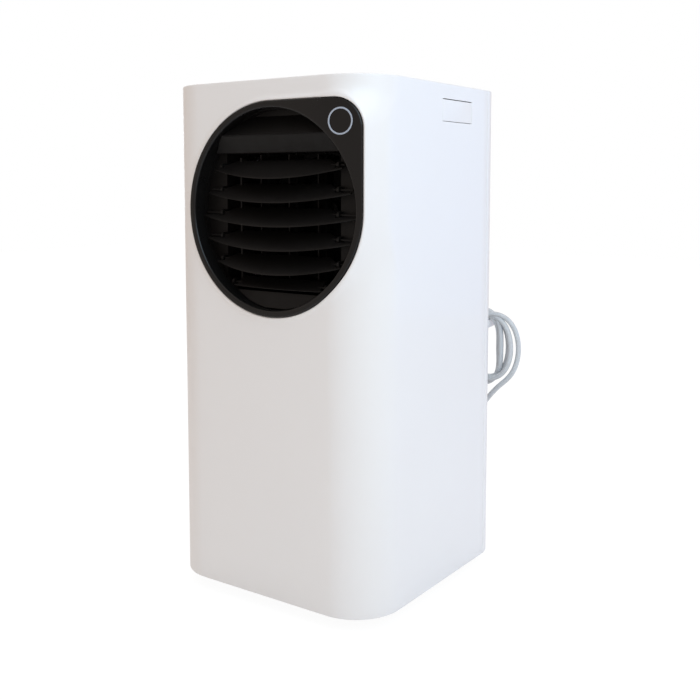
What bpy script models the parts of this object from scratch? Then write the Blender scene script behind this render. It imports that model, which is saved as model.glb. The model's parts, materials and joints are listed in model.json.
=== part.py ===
"""Portable air conditioner: casing, louvred round outlet, castors, refrigerant circuit and mains cord.

Metres, +Z up, front towards -Y. Places are written from the middle of the casing; the placement empty then
puts the middle of the whole machine, without its cord, on the origin.
"""

from math import asin, copysign, cos, pi, radians, sin, sqrt

import bmesh
import bpy
from mathutils import Matrix, Vector

# Casing
BODY_W = 0.347
BODY_D = 0.347
TOP_Z = 0.703
SKIRT_Z = 0.018
FRONT_R = 0.0675
REAR_R = 0.045
WALL = 0.003
GAP = 0.0004
HALF_W = BODY_W / 2
FRONT_Y = -BODY_D / 2
BACK_Y = BODY_D / 2
SPLIT_Y = BACK_Y - REAR_R

# Round outlet, whose upper right corner is squared off
OUTLET_X = 0.018
OUTLET_Z = 0.536
OUTLET_R = 0.1389
OUTLET_CORNER_R = 0.038
OUTLET_INNER_R = 0.130
BEZEL_PROUD = 0.004
BEZEL_BACK_Y = -0.1565
SWEEP_START_X = 0.080
SWEEP_RADIUS = 0.307

# Thin ring on the outlet's squared corner
RING_X = 0.129
RING_Z = 0.6457
RING_OUTER_R = 0.0168
RING_INNER_R = 0.0145

# Louvre blades
BLADE_COUNT = 6
BLADE_PITCH = 0.031
BLADE_TOP_Z = 0.593
BLADE_TILT = radians(38)
BLADE_HALF_LENGTHS = (0.105, 0.118, 0.126, 0.120, 0.102, 0.0735)
PIVOT_Y = -0.155
BLADE_THICK = 0.0022
BLADE_END = 0.008
BLADE_BOWS = (0.0196, 0.0196, 0.0196, 0.0196, 0.0196, 0.0012)
TAB_HALF = 0.092
PIN_R = 0.0015
LINK_X = OUTLET_X - 0.070
LINK_BACK = 0.010

# Duct behind the blades
DUCT_HALF_W = 0.095
DUCT_LOW_Z = 0.426
DUCT_HIGH_Z = 0.610
DUCT_WALL = 0.0035
PLATE_Y = -0.1495
DUCT_END_Y = -0.098
VANE_Y = -0.118
VANE_OFFSETS = (-0.048, 0.0, 0.048)

# Control panel in the lid: (low, high) places across and along it
PANEL_X = (-0.090, 0.090)
PANEL_Y = (-0.152, -0.098)
BUTTONS = {
    "button_power": -0.060,
    "button_mode": -0.030,
    "button_fan": 0.000,
    "button_down": 0.030,
    "button_up": 0.060,
}
BUTTON_Y = -0.116
BUTTON_R = 0.0070

# Grip flaps in the sides
FLAP_Y = (-0.002, 0.080)
FLAP_Z = (0.6527, 0.6826)
FLAP_THICK = 0.0027
FLAP_AXIS_Z = 0.6809

# Back of the casing: grille windows as their lower left and upper right (x, z) corners
UPPER_WINDOW = ((-0.112, 0.432), (0.112, 0.662))
LOWER_WINDOW = ((-0.115, 0.062), (0.075, 0.200))
HOOK_REACH = 0.050
EXHAUST_X = -0.045
EXHAUST_Z = 0.320
EXHAUST_R = 0.074
GLAND_X = 0.048
GLAND_Z = 0.222
GLAND_TIP_Y = BACK_Y + 0.030
DRAINS = {"drain_plug_middle": (0.085, 0.243), "drain_plug_lower": (0.105, 0.058)}

# Where the suction pipe goes through the middle tray
PIPE_PASS = (0.140, 0.100)

# Mains cord
CORD_R = 0.0039
COIL_X = 0.136
COIL_Y = 0.2065
COIL_Z = 0.3175
COIL_HALF_W = 0.0415
COIL_HALF_H = 0.0550
COIL_RADIAL = 0.0225
COIL_DEEP = 0.0245
LEAD_ROUTE = [
    (0.0480, 0.2039, 0.2220),
    (0.0480, 0.2160, 0.2210),
    (0.0490, 0.2300, 0.2140),
    (0.0540, 0.2410, 0.1990),
    (0.0660, 0.2450, 0.1850),
    (0.0830, 0.2420, 0.1810),
    (0.1000, 0.2350, 0.1885),
    (0.1150, 0.2260, 0.2050),
    (0.1260, 0.2175, 0.2270),
    (0.1345, 0.2110, 0.2480),
]
TAIL_ROUTE = [
    (0.0930, 0.2035, 0.2715),
    (0.0927, 0.2030, 0.2475),
    (0.0926, 0.2028, 0.2225),
    (0.0925, 0.2027, 0.1975),
]

# Castors
CASTOR_XY = 0.112
CASTOR_TRAIL = 0.012
WHEEL_R = 0.015
WHEEL_HALF_W = 0.0075
BASE_Z = 0.044

FRONT_EXTENT = FRONT_Y - BEZEL_PROUD
BACK_EXTENT = BACK_Y + HOOK_REACH
PLACE_Y = -(FRONT_EXTENT + BACK_EXTENT) / 2


# ---------------------------------------------------------------- scene and materials


def clear_scene():
    for obj in list(bpy.data.objects):
        bpy.data.objects.remove(obj, do_unlink=True)


def new_collection(name):
    collection = bpy.data.collections.new(name)
    bpy.context.scene.collection.children.link(collection)
    return collection


clear_scene()
MACHINE = new_collection("portable_air_conditioner")
CUTTERS = new_collection("cutters")
PLACEMENT = bpy.data.objects.new("placement", None)
PLACEMENT.location = (0, PLACE_Y, 0)
MACHINE.objects.link(PLACEMENT)


def material(name, colour, roughness, metallic=0.0):
    made = bpy.data.materials.new(name)
    made.use_nodes = True
    shader = made.node_tree.nodes["Principled BSDF"]
    shader.inputs["Base Color"].default_value = (*colour, 1)
    shader.inputs["Roughness"].default_value = roughness
    shader.inputs["Metallic"].default_value = metallic
    return made


WHITE = material("white_casing", (0.80, 0.79, 0.78), 0.45)
BLACK = material("black_bezel", (0.018, 0.017, 0.017), 0.25)
DARK = material("dark_louvre", (0.016, 0.015, 0.015), 0.5)
GLOW = material("ring_light", (0.80, 0.84, 0.90), 0.3)
GREY = material("grey_plastic", (0.35, 0.36, 0.37), 0.5)
CORD = material("grey_cord", (0.55, 0.57, 0.58), 0.45)
STEEL = material("bare_steel", (0.55, 0.55, 0.56), 0.35, 1.0)
PAINT = material("compressor_paint", (0.02, 0.02, 0.02), 0.4)
ALUMINIUM = material("fin_aluminium", (0.75, 0.76, 0.78), 0.4, 1.0)
COPPER = material("copper_pipe", (0.72, 0.38, 0.24), 0.3, 1.0)
RUBBER = material("castor_rubber", (0.05, 0.05, 0.05), 0.7)
INNER = material("inner_plastic", (0.62, 0.62, 0.60), 0.6)


# ---------------------------------------------------------------- solids


def adopt(obj, collection, parent=None):
    collection.objects.link(obj)
    obj.parent = parent or PLACEMENT
    return obj


def from_bmesh(name, shape, finish=None, collection=MACHINE):
    bmesh.ops.recalc_face_normals(shape, faces=shape.faces)
    mesh = bpy.data.meshes.new(name)
    shape.to_mesh(mesh)
    shape.free()
    if finish:
        mesh.materials.append(finish)
    return adopt(bpy.data.objects.new(name, mesh), collection)


def box(name, low, high, finish=None, collection=MACHINE):
    shape = bmesh.new()
    bmesh.ops.create_cube(shape, size=1)
    size = [b - a for a, b in zip(low, high)]
    centre = [(a + b) / 2 for a, b in zip(low, high)]
    bmesh.ops.scale(shape, vec=size, verts=shape.verts)
    bmesh.ops.translate(shape, vec=centre, verts=shape.verts)
    return from_bmesh(name, shape, finish, collection)


TURN = {
    "X": Matrix.Rotation(pi / 2, 4, "Y"),
    "Y": Matrix.Rotation(-pi / 2, 4, "X"),
    "Z": Matrix.Identity(4),
}


def rod(name, start, radius, length, axis, finish=None, collection=MACHINE, sides=32, end_radius=None):
    """A cylinder or cone that starts at a point and runs along +axis."""
    shape = bmesh.new()
    end = radius if end_radius is None else end_radius
    bmesh.ops.create_cone(
        shape, cap_ends=True, segments=sides, radius1=radius, radius2=end, depth=length
    )
    bmesh.ops.translate(shape, vec=(0, 0, length / 2), verts=shape.verts)
    bmesh.ops.transform(shape, matrix=TURN[axis], verts=shape.verts)
    bmesh.ops.translate(shape, vec=start, verts=shape.verts)
    return from_bmesh(name, shape, finish, collection)


def modified(obj, kind, **settings):
    modifier = obj.modifiers.new(kind.lower(), kind)
    for key, value in settings.items():
        setattr(modifier, key, value)
    return obj


def cut(obj, cutter):
    cutter.hide_render = True
    cutter.display_type = "WIRE"
    return modified(obj, "BOOLEAN", operation="DIFFERENCE", object=cutter, solver="EXACT")


def join(obj, other):
    other.hide_render = True
    other.display_type = "WIRE"
    return modified(obj, "BOOLEAN", operation="UNION", object=other, solver="EXACT")


def clip(obj, other):
    other.hide_render = True
    other.display_type = "WIRE"
    return modified(obj, "BOOLEAN", operation="INTERSECT", object=other, solver="EXACT")


def cut_box(obj, low, high):
    return cut(obj, box(obj.name + "_cut", low, high, collection=CUTTERS))


def cut_rod(obj, start, radius, length, axis, sides=32):
    return cut(obj, rod(obj.name + "_cut", start, radius, length, axis, None, CUTTERS, sides))


def join_box(obj, low, high):
    return join(obj, box(obj.name + "_join", low, high, collection=CUTTERS))


def join_rod(obj, start, radius, length, axis, sides=32):
    return join(obj, rod(obj.name + "_join", start, radius, length, axis, None, CUTTERS, sides))


def softened(obj, width, segments=2):
    return modified(obj, "BEVEL", width=width, segments=segments, limit_method="ANGLE")


def meshed(obj):
    """The same object as a plain mesh, with the caps of a curve welded on."""
    graph = bpy.context.evaluated_depsgraph_get()
    mesh = bpy.data.meshes.new_from_object(obj.evaluated_get(graph))
    shape = bmesh.new()
    shape.from_mesh(mesh)
    bmesh.ops.remove_doubles(shape, verts=shape.verts, dist=1e-6)
    shape.to_mesh(mesh)
    shape.free()
    collection = obj.users_collection[0]
    made = bpy.data.objects.new(obj.name, mesh)
    name = obj.name
    made.parent = PLACEMENT
    made.matrix_basis = obj.matrix_basis.copy()
    bpy.data.objects.remove(obj, do_unlink=True)
    made.name = name
    collection.objects.link(made)
    return made


def arc(centre, radius, start_deg, end_deg, steps):
    """Points of an arc, both ends included."""
    angles = [radians(start_deg + (end_deg - start_deg) * i / steps) for i in range(steps + 1)]
    return [(centre[0] + radius * cos(a), centre[1] + radius * sin(a)) for a in angles]


def slab(name, outlines, low, high, axis, finish=None, collection=MACHINE):
    """A flat outline, with any inner outlines as holes, extruded between two places on its axis.

    For axis Z the outline's points are (x, y); for axis Y they are (x, z).
    """
    curve = bpy.data.curves.new(name, "CURVE")
    curve.dimensions = "2D"
    curve.fill_mode = "BOTH"
    curve.extrude = (high - low) / 2
    for points in outlines:
        spline = curve.splines.new("POLY")
        spline.points.add(len(points) - 1)
        for target, (across, along) in zip(spline.points, points):
            target.co = (across, along, 0, 1)
        spline.use_cyclic_u = True
    if finish:
        curve.materials.append(finish)
    obj = adopt(bpy.data.objects.new(name, curve), collection)
    if axis == "Z":
        obj.location = (0, 0, (low + high) / 2)
    else:
        obj.rotation_euler = (pi / 2, 0, 0)
        obj.location = (0, (low + high) / 2, 0)
    bpy.context.view_layer.update()
    made = meshed(obj)
    made.data.transform(made.matrix_basis)
    made.matrix_basis = Matrix.Identity(4)
    return made


def turned(name, profile, centre, axis, finish=None, collection=MACHINE, steps=40):
    """A closed profile of (radius, place along axis) turned round an axis through a point."""
    mesh = bpy.data.meshes.new(name)
    count = len(profile)
    edges = [(i, (i + 1) % count) for i in range(count)]
    mesh.from_pydata([(r, 0, along) for r, along in profile], edges, [])
    if finish:
        mesh.materials.append(finish)
    obj = adopt(bpy.data.objects.new(name, mesh), collection)
    modified(
        obj,
        "SCREW",
        axis="Z",
        steps=steps,
        render_steps=steps,
        use_merge_vertices=True,
        merge_threshold=1e-5,
        use_normal_calculate=True,
    )
    bpy.context.view_layer.update()
    made = meshed(obj)
    shape = bmesh.new()
    shape.from_mesh(made.data)
    bmesh.ops.transform(shape, matrix=TURN[axis], verts=shape.verts)
    bmesh.ops.translate(shape, vec=centre, verts=shape.verts)
    bmesh.ops.recalc_face_normals(shape, faces=shape.faces)
    shape.to_mesh(made.data)
    shape.free()
    return made


def smooth_route(points, spacing):
    """Points every so often along a Catmull-Rom curve through the given points."""
    knots = [Vector(p) for p in points]
    knots = [knots[0] * 2 - knots[1]] + knots + [knots[-1] * 2 - knots[-2]]
    fine = []
    for a, b, c, d in zip(knots, knots[1:], knots[2:], knots[3:]):
        for i in range(24):
            t = i / 24
            bend = (2 * a - 5 * b + 4 * c - d) * t**2
            twist = (3 * b - a - 3 * c + d) * t**3
            fine.append(0.5 * (2 * b + (c - a) * t + bend + twist))
    fine.append(knots[-2])
    kept = [fine[0]]
    travelled = 0.0
    for previous, here in zip(fine, fine[1:]):
        travelled += (here - previous).length
        if travelled >= spacing:
            kept.append(here)
            travelled = 0.0
    if (kept[-1] - fine[-1]).length < spacing / 2:
        kept.pop()
    kept.append(fine[-1])
    return kept


def tube(name, points, radius, finish, spacing=None, resolution=2):
    route = smooth_route(points, spacing or 2.5 * radius * 2)
    curve = bpy.data.curves.new(name, "CURVE")
    curve.dimensions = "3D"
    curve.bevel_depth = radius
    curve.bevel_resolution = resolution
    curve.use_fill_caps = True
    spline = curve.splines.new("POLY")
    spline.points.add(len(route) - 1)
    for target, place in zip(spline.points, route):
        target.co = (*place, 1)
    curve.materials.append(finish)
    return adopt(bpy.data.objects.new(name, curve), MACHINE)


# ---------------------------------------------------------------- casing


def casing_side(inset, from_y):
    """The casing's plan from the front right corner back to from_y, inset from outside."""
    half_w = HALF_W - inset
    corner = (HALF_W - FRONT_R, FRONT_Y + FRONT_R)
    return arc(corner, FRONT_R - inset, -90, 0, 10) + [(half_w, from_y)]


def mirrored(points):
    return [(-x, y) for x, y in reversed(points)]


def casing_plan(inset):
    """The closed plan of the casing, inset from outside."""
    rear = arc((HALF_W - REAR_R, BACK_Y - REAR_R), REAR_R - inset, 0, 90, 8)
    right = casing_side(inset, BACK_Y - REAR_R)[:-1] + rear
    return right + mirrored(right)


def teardrop(grow, steps=44):
    """The outlet's outline: a circle whose upper right quarter is a square with a rounded corner."""
    radius = OUTLET_R + grow
    corner_r = OUTLET_CORNER_R + grow
    corner = (OUTLET_X + radius - corner_r, OUTLET_Z + radius - corner_r)
    round_part = arc((OUTLET_X, OUTLET_Z), radius, 90, 360, steps)
    return round_part + arc(corner, corner_r, 0, 90, 8)


def circle(centre, radius, steps):
    return arc(centre, radius, 0, 360, steps)[:-1]


def sweep(x):
    """How far the outlet's face falls back at a place across it."""
    over = max(0.0, x - SWEEP_START_X)
    return over**2 / (2 * SWEEP_RADIUS)


def sweep_front(obj, in_front_of):
    """Bends the front face of an outlet piece back on its right side."""
    for vertex in obj.data.vertices:
        if vertex.co.y < in_front_of:
            vertex.co.y += sweep(vertex.co.x)
    return obj


def front_shell():
    outer = casing_side(0, SPLIT_Y)
    inner = casing_side(WALL, SPLIT_Y)
    band = mirrored(outer) + outer + list(reversed(inner)) + list(reversed(mirrored(inner)))
    shell = slab("front_shell", [band], SKIRT_Z, TOP_Z, "Z", WHITE)
    boss_proud, boss_back_y, flare = 0.001, -0.128, 1.13
    boss = slab("outlet_boss", [teardrop(0.003)], FRONT_Y - boss_proud, boss_back_y, "Y", None, CUTTERS)
    for vertex in boss.data.vertices:
        if vertex.co.y > -0.15:
            vertex.co.x = min(OUTLET_X + (vertex.co.x - OUTLET_X) * flare, HALF_W - 0.001)
            vertex.co.z = OUTLET_Z + (vertex.co.z - OUTLET_Z) * flare
    sweep_front(boss, -0.15)
    inside = slab("casing_inside", [casing_plan(WALL + 0.012)], 0, 1, "Z", None, CUTTERS)
    cut(boss, inside)
    join(shell, boss)
    cut(shell, slab("outlet_hole", [teardrop(GAP)], FRONT_Y - 0.03, -0.10, "Y", None, CUTTERS))
    for side in (-1, 1):
        reach = sorted((side * (HALF_W - 0.01), side * (HALF_W + 0.01)))
        cut_box(shell, (reach[0], FLAP_Y[0], FLAP_Z[0]), (reach[1], FLAP_Y[1], FLAP_Z[1]))
    return shell


def rear_shell():
    def half(inset):
        start = (HALF_W - inset, SPLIT_Y + 0.0003)
        return [start] + arc((HALF_W - REAR_R, BACK_Y - REAR_R), REAR_R - inset, 2, 90, 8)

    outer = half(0)
    inner = half(WALL)
    band = outer + mirrored(outer) + list(reversed(mirrored(inner))) + list(reversed(inner))
    shell = slab("rear_shell", [band], SKIRT_Z, TOP_Z, "Z", WHITE)
    for low, high in (UPPER_WINDOW, LOWER_WINDOW):
        cut_box(shell, (low[0], BACK_Y - 0.01, low[1]), (high[0], BACK_Y + 0.01, high[1]))
    cut_rod(shell, (EXHAUST_X, BACK_Y - 0.01, EXHAUST_Z), EXHAUST_R + GAP, 0.02, "Y", 40)
    for x, z in DRAINS.values():
        cut_rod(shell, (x, BACK_Y - 0.01, z), 0.0072, 0.02, "Y", 20)
    return shell


def top_cover():
    cover = slab("top_cover", [casing_plan(WALL + GAP)], 0.6955, 0.7025, "Z", WHITE)
    return cut_box(cover, (PANEL_X[0], PANEL_Y[0], 0.6), (PANEL_X[1], PANEL_Y[1], 0.8))


def control_panel():
    low = (PANEL_X[0] + GAP, PANEL_Y[0] + GAP, 0.6975)
    high = (PANEL_X[1] - GAP, PANEL_Y[1] - GAP, 0.7020)
    panel = box("control_panel", low, high, BLACK)
    for x in BUTTONS.values():
        cut_rod(panel, (x, BUTTON_Y, 0.69), BUTTON_R + GAP, 0.02, "Z", 24)
    cut_box(panel, (-0.022, -0.145, 0.7010), (0.022, -0.131, 0.71))
    for name, x in BUTTONS.items():
        rod(name, (x, BUTTON_Y, 0.6968), BUTTON_R, 0.0062, "Z", GREY, sides=24)


def base_pan():
    outline = casing_plan(WALL + GAP)
    pan = slab("base_pan", [outline], BASE_Z, BASE_Z + 0.005, "Z", INNER)
    rim = slab("pan_rim", [outline, casing_plan(WALL + 0.0034)], BASE_Z + 0.002, 0.068, "Z", None, CUTTERS)
    join(pan, rim)
    for x in (-CASTOR_XY, CASTOR_XY):
        for y in (-CASTOR_XY, CASTOR_XY):
            cut_rod(pan, (x, y, BASE_Z - 0.01), 0.0044, 0.03, "Z", 20)
    x, z = DRAINS["drain_plug_lower"]
    cut_rod(pan, (x, BACK_Y - 0.02, z), 0.0074, 0.03, "Y", 20)
    return pan


def middle_tray():
    half = [(0.160, -0.128), (0.1698, -0.095), (0.1698, 0.125), (0.148, 0.163)]
    outline = half + mirrored(half)
    inside = [(x - copysign(0.003, x), y - copysign(0.003, y)) for x, y in outline]
    tray = slab("middle_tray", [outline], 0.4045, 0.4095, "Z", INNER)
    join(tray, slab("tray_rim", [outline, inside], 0.4070, 0.4160, "Z", None, CUTTERS))
    cut_rod(tray, (PIPE_PASS[0], PIPE_PASS[1], 0.39), 0.009, 0.04, "Z", 20)
    return tray


# ---------------------------------------------------------------- outlet


def outlet_bezel():
    outlines = [teardrop(0), circle((OUTLET_X, OUTLET_Z), OUTLET_INNER_R, 48)]
    bezel = slab("outlet_bezel", outlines, FRONT_EXTENT, BEZEL_BACK_Y, "Y", BLACK)
    return sweep_front(bezel, -0.16)


def ring_light():
    """A thin ring on the squared corner of the bezel."""
    face_y = FRONT_EXTENT + sweep(RING_X)
    tilt = asin((RING_X - SWEEP_START_X) / SWEEP_RADIUS)
    ring = slab(
        "ring_light",
        [circle((0, 0), RING_OUTER_R, 40), circle((0, 0), RING_INNER_R, 40)],
        -0.0009,
        -0.0003,
        "Y",
        GLOW,
    )
    ring.data.transform(Matrix.Translation((RING_X, face_y, RING_Z)) @ Matrix.Rotation(tilt, 4, "Z"))


def blade_axis_z(number):
    return BLADE_TOP_Z - BLADE_PITCH * number


def support_x(number):
    """How far from the outlet's middle a blade's bearings stand."""
    return min(DUCT_HALF_W, BLADE_HALF_LENGTHS[number] + 0.002)


def slanted_plate(name, rear, front, half_width):
    """A thin plate between two (y, z) places, clipped to the round recess."""
    (y0, z0), (y1, z1) = rear, front
    length = sqrt((y1 - y0) ** 2 + (z1 - z0) ** 2)
    plate = box(name, (-half_width, 0, -0.0011), (half_width, length, 0.0011), collection=CUTTERS)
    tilt = Vector((0, y1 - y0, z1 - z0)).to_track_quat("Y", "Z").to_matrix().to_4x4()
    plate.data.transform(Matrix.Translation((OUTLET_X, y0, z0)) @ tilt)
    clip_r = OUTLET_INNER_R - 0.0008
    recess = rod(name + "_clip", (OUTLET_X, -0.19, OUTLET_Z), clip_r, 0.09, "Y", None, CUTTERS, 48)
    return clip(plate, recess)


def duct_frame():
    plate = rod("duct_frame", (OUTLET_X, PLATE_Y, OUTLET_Z), 0.1355, 0.0035, "Y", DARK, sides=48)
    outer = DUCT_HALF_W + DUCT_WALL
    join_box(
        plate,
        (OUTLET_X - outer, PLATE_Y + 0.001, DUCT_LOW_Z - DUCT_WALL),
        (OUTLET_X + outer, DUCT_END_Y, DUCT_HIGH_Z + DUCT_WALL),
    )
    cut_box(
        plate,
        (OUTLET_X - DUCT_HALF_W, PLATE_Y - 0.02, DUCT_LOW_Z),
        (OUTLET_X + DUCT_HALF_W, DUCT_END_Y + 0.02, DUCT_HIGH_Z),
    )
    ring = [circle((OUTLET_X, OUTLET_Z), 0.1345, 44), circle((OUTLET_X, OUTLET_Z), 0.1312, 44)]
    join(plate, slab("frame_rim", ring, BEZEL_BACK_Y + GAP, PLATE_Y + 0.001, "Y", None, CUTTERS))
    join(plate, slanted_plate("deflector_upper", (-0.147, 0.6585), (-0.1700, 0.6325), 0.13))
    join(plate, slanted_plate("deflector_lower", (-0.1688, 0.6335), (-0.1570, 0.6110), 0.105))
    join(plate, slanted_plate("outlet_sill", (-0.1555, 0.4275), (-0.1630, 0.4075), 0.13))
    join_box(plate, (OUTLET_X - 0.030, -0.1560, 0.4240), (OUTLET_X + 0.030, PLATE_Y + 0.001, 0.4275))
    for number in range(BLADE_COUNT):
        z = blade_axis_z(number)
        inner_x = support_x(number)
        foot_z = z - 0.0042 if inner_x == DUCT_HALF_W else DUCT_LOW_Z - 0.002
        for side in (-1, 1):
            near, far = sorted((OUTLET_X + side * inner_x, OUTLET_X + side * (inner_x + DUCT_WALL)))
            join_rod(plate, (near, PIVOT_Y, z), 0.0046, DUCT_WALL, "X", 16)
            join_box(plate, (near, PIVOT_Y, foot_z), (far, PLATE_Y + 0.002, z + 0.0042))
        span = inner_x + DUCT_WALL + 0.001
        cut_rod(plate, (OUTLET_X - span, PIVOT_Y, z), PIN_R + 0.0005, 2 * span, "X", 12)
    for offset in VANE_OFFSETS:
        cut_rod(plate, (OUTLET_X + offset, VANE_Y, 0.40), PIN_R + 0.0005, 0.24, "Z", 12)
    return plate


def louvre_blade(number):
    """A lens-shaped blade: a straight tab on the pivot line, a bowed front, end pins and a link pin."""
    half = BLADE_HALF_LENGTHS[number]
    tab = min(TAB_HALF, half - 0.004)
    steps = 12
    across = [half - 2 * half * i / steps for i in range(steps + 1)]
    bow = [(x, BLADE_END + BLADE_BOWS[number] * (1 - (x / half) ** 2)) for x in across]
    corner = [(tab - 0.016, -0.012), (tab, -0.002)] if tab == TAB_HALF else [(tab, -0.012)]
    right = corner + [(tab, 0.0053), (half, 0.0060)]
    back = mirrored(right) + right
    blade = slab(f"louvre_blade_{number + 1}", [back + bow], -BLADE_THICK / 2, BLADE_THICK / 2, "Z", DARK)
    reach = support_x(number) + DUCT_WALL - 0.0004
    for start in (-reach, tab - 0.006):
        join_rod(blade, (start, 0, 0), PIN_R, reach - tab + 0.006, "X", 14)
    link = LINK_X - OUTLET_X
    cut_box(blade, (link - 0.003, -0.02, -0.01), (link + 0.003, -0.0035, 0.01))
    join_rod(blade, (link - 0.004, -LINK_BACK, 0), 0.0010, 0.008, "X", 10)
    pivot = adopt(bpy.data.objects.new(f"blade_pivot_{number + 1}", None), MACHINE)
    pivot.location = (OUTLET_X, PIVOT_Y, blade_axis_z(number))
    pivot.rotation_euler = (pi + BLADE_TILT, 0, 0)
    for piece in [blade] + [modifier.object for modifier in blade.modifiers]:
        piece.parent = pivot


def link_pin(number):
    """Where a blade's link pin sits, as (y, z)."""
    return (
        PIVOT_Y + LINK_BACK * cos(BLADE_TILT),
        blade_axis_z(number) + LINK_BACK * sin(BLADE_TILT),
    )


def louvre_link():
    y, top = link_pin(0)
    bottom = link_pin(BLADE_COUNT - 1)[1]
    half_x, half_y, past = 0.0012, 0.0022, 0.005
    low = (LINK_X - half_x, y - half_y, bottom - past)
    high = (LINK_X + half_x, y + half_y, top + past)
    bar = box("louvre_link", low, high, DARK)
    for number in range(BLADE_COUNT):
        cut_rod(bar, (LINK_X - 0.005, *link_pin(number)), 0.0015, 0.010, "X", 12)


def swing_motor():
    """The stepping motor that turns the blades, outside the duct at the third blade's pivot."""
    z = blade_axis_z(2)
    start_x = OUTLET_X + DUCT_HALF_W + DUCT_WALL + GAP
    motor = rod("swing_motor", (start_x, PIVOT_Y + 0.028, z), 0.014, 0.018, "X", STEEL, sides=24)
    join_box(motor, (start_x, PIVOT_Y + 0.010, z - 0.004), (start_x + 0.0012, PIVOT_Y + 0.046, z + 0.004))


def duct_vane(number):
    x = OUTLET_X + VANE_OFFSETS[number]
    low, high = DUCT_LOW_Z + 0.002, DUCT_HIGH_Z - 0.002
    half_thick, half_deep, pin_length = 0.001, 0.016, 0.005
    vane = box(
        f"duct_vane_{number + 1}",
        (x - half_thick, VANE_Y - half_deep, low),
        (x + half_thick, VANE_Y + half_deep, high),
        DARK,
    )
    join_rod(vane, (x, VANE_Y, low - pin_length), PIN_R, high - low + 2 * pin_length, "Z", 12)


# ---------------------------------------------------------------- side handles, back and drains


def handle(side, word):
    """A flap that springs shut over a grip pocket; the hand pushes it in to lift the machine."""
    outer = HALF_W * side
    low_x, high_x = sorted((outer, outer - side * FLAP_THICK))
    box(
        f"handle_flap_{word}",
        (low_x, FLAP_Y[0] + GAP, FLAP_Z[0] + GAP),
        (high_x, FLAP_Y[1] - GAP, FLAP_AXIS_Z + 0.0008),
        WHITE,
    )
    mouth = outer - side * (WALL + GAP)
    back = outer - side * 0.038
    low_x, high_x = sorted((mouth, back))
    wall = 0.002
    low = (low_x, FLAP_Y[0] - 0.004, FLAP_Z[0] - 0.008)
    high = (high_x, FLAP_Y[1] + 0.004, FLAP_Z[1] + 0.006)
    pocket = box(f"handle_pocket_{word}", low, high, INNER)
    hollow_x = sorted((mouth + side * 0.01, back + side * wall))
    cut_box(
        pocket,
        (hollow_x[0], low[1] + wall, low[2] + wall),
        (hollow_x[1], high[1] - wall, high[2] - wall),
    )


def slotted(panel, low, high, count, slot, upright):
    """Cuts a row of equal slots through a panel that faces the back, with one cutter repeated by an Array."""
    run = (high[0] - low[0]) if upright else (high[1] - low[1])
    pitch = run / count
    if upright:
        size_low, size_high = (low[0], low[1]), (low[0] + slot, high[1])
    else:
        size_low, size_high = (low[0], low[1]), (high[0], low[1] + slot)
    cutter = box(
        panel.name + "_slots",
        (size_low[0], BACK_Y - 0.02, size_low[1]),
        (size_high[0], BACK_Y + 0.02, size_high[1]),
        collection=CUTTERS,
    )
    step = (pitch, 0, 0) if upright else (0, 0, pitch)
    modified(cutter, "ARRAY", count=count, use_relative_offset=False, use_constant_offset=True)
    cutter.modifiers[0].constant_offset_displace = step
    return cut(panel, cutter)


def filter_door():
    """The upper grille, which carries the dust filter and swings down on its bottom edge."""
    (x0, z0), (x1, z1) = UPPER_WINDOW
    front, back = BACK_Y - WALL, BACK_Y
    door = box("filter_door", (x0 + GAP, front, z0 + 0.0015), (x1 - GAP, back, z1 - 0.0008), WHITE)
    slotted(door, (x0 + 0.012, z0 + 0.014), (-0.004, z1 - 0.009), 17, 0.0065, False)
    slotted(door, (0.004, z0 + 0.014), (x1 - 0.012, z1 - 0.009), 17, 0.0065, False)


def lower_grille():
    (x0, z0), (x1, z1) = LOWER_WINDOW
    panel = box("lower_grille", (x0 + GAP, BACK_Y - WALL, z0 + GAP), (x1 - GAP, BACK_Y, z1 - GAP), WHITE)
    slotted(panel, (x0 + 0.012, z0 + 0.010), (x1 - 0.008, z1 - 0.010), 16, 0.0065, True)


def exhaust_collar():
    """The round collar that the hot-air hose pushes onto, with a flange on the back panel."""
    flange, front, end = 0.0835, -0.036, 0.018
    profile = [
        (EXHAUST_R - 0.0025, front),
        (EXHAUST_R, front),
        (EXHAUST_R, 0.0004),
        (flange, 0.0004),
        (flange, 0.0034),
        (EXHAUST_R + 0.0012, 0.0034),
        (EXHAUST_R, end),
        (EXHAUST_R - 0.0025, end),
    ]
    turned("exhaust_collar", profile, (EXHAUST_X, BACK_Y, EXHAUST_Z), "Y", WHITE, steps=44)


def drain_plug(name, x, z):
    plug = rod(name, (x, BACK_Y + 0.0004, z), 0.0095, 0.0035, "Y", GREY, sides=20)
    join_rod(plug, (x, BACK_Y - 0.008, z), 0.0068, 0.010, "Y", 20)


# ---------------------------------------------------------------- castors


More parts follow.
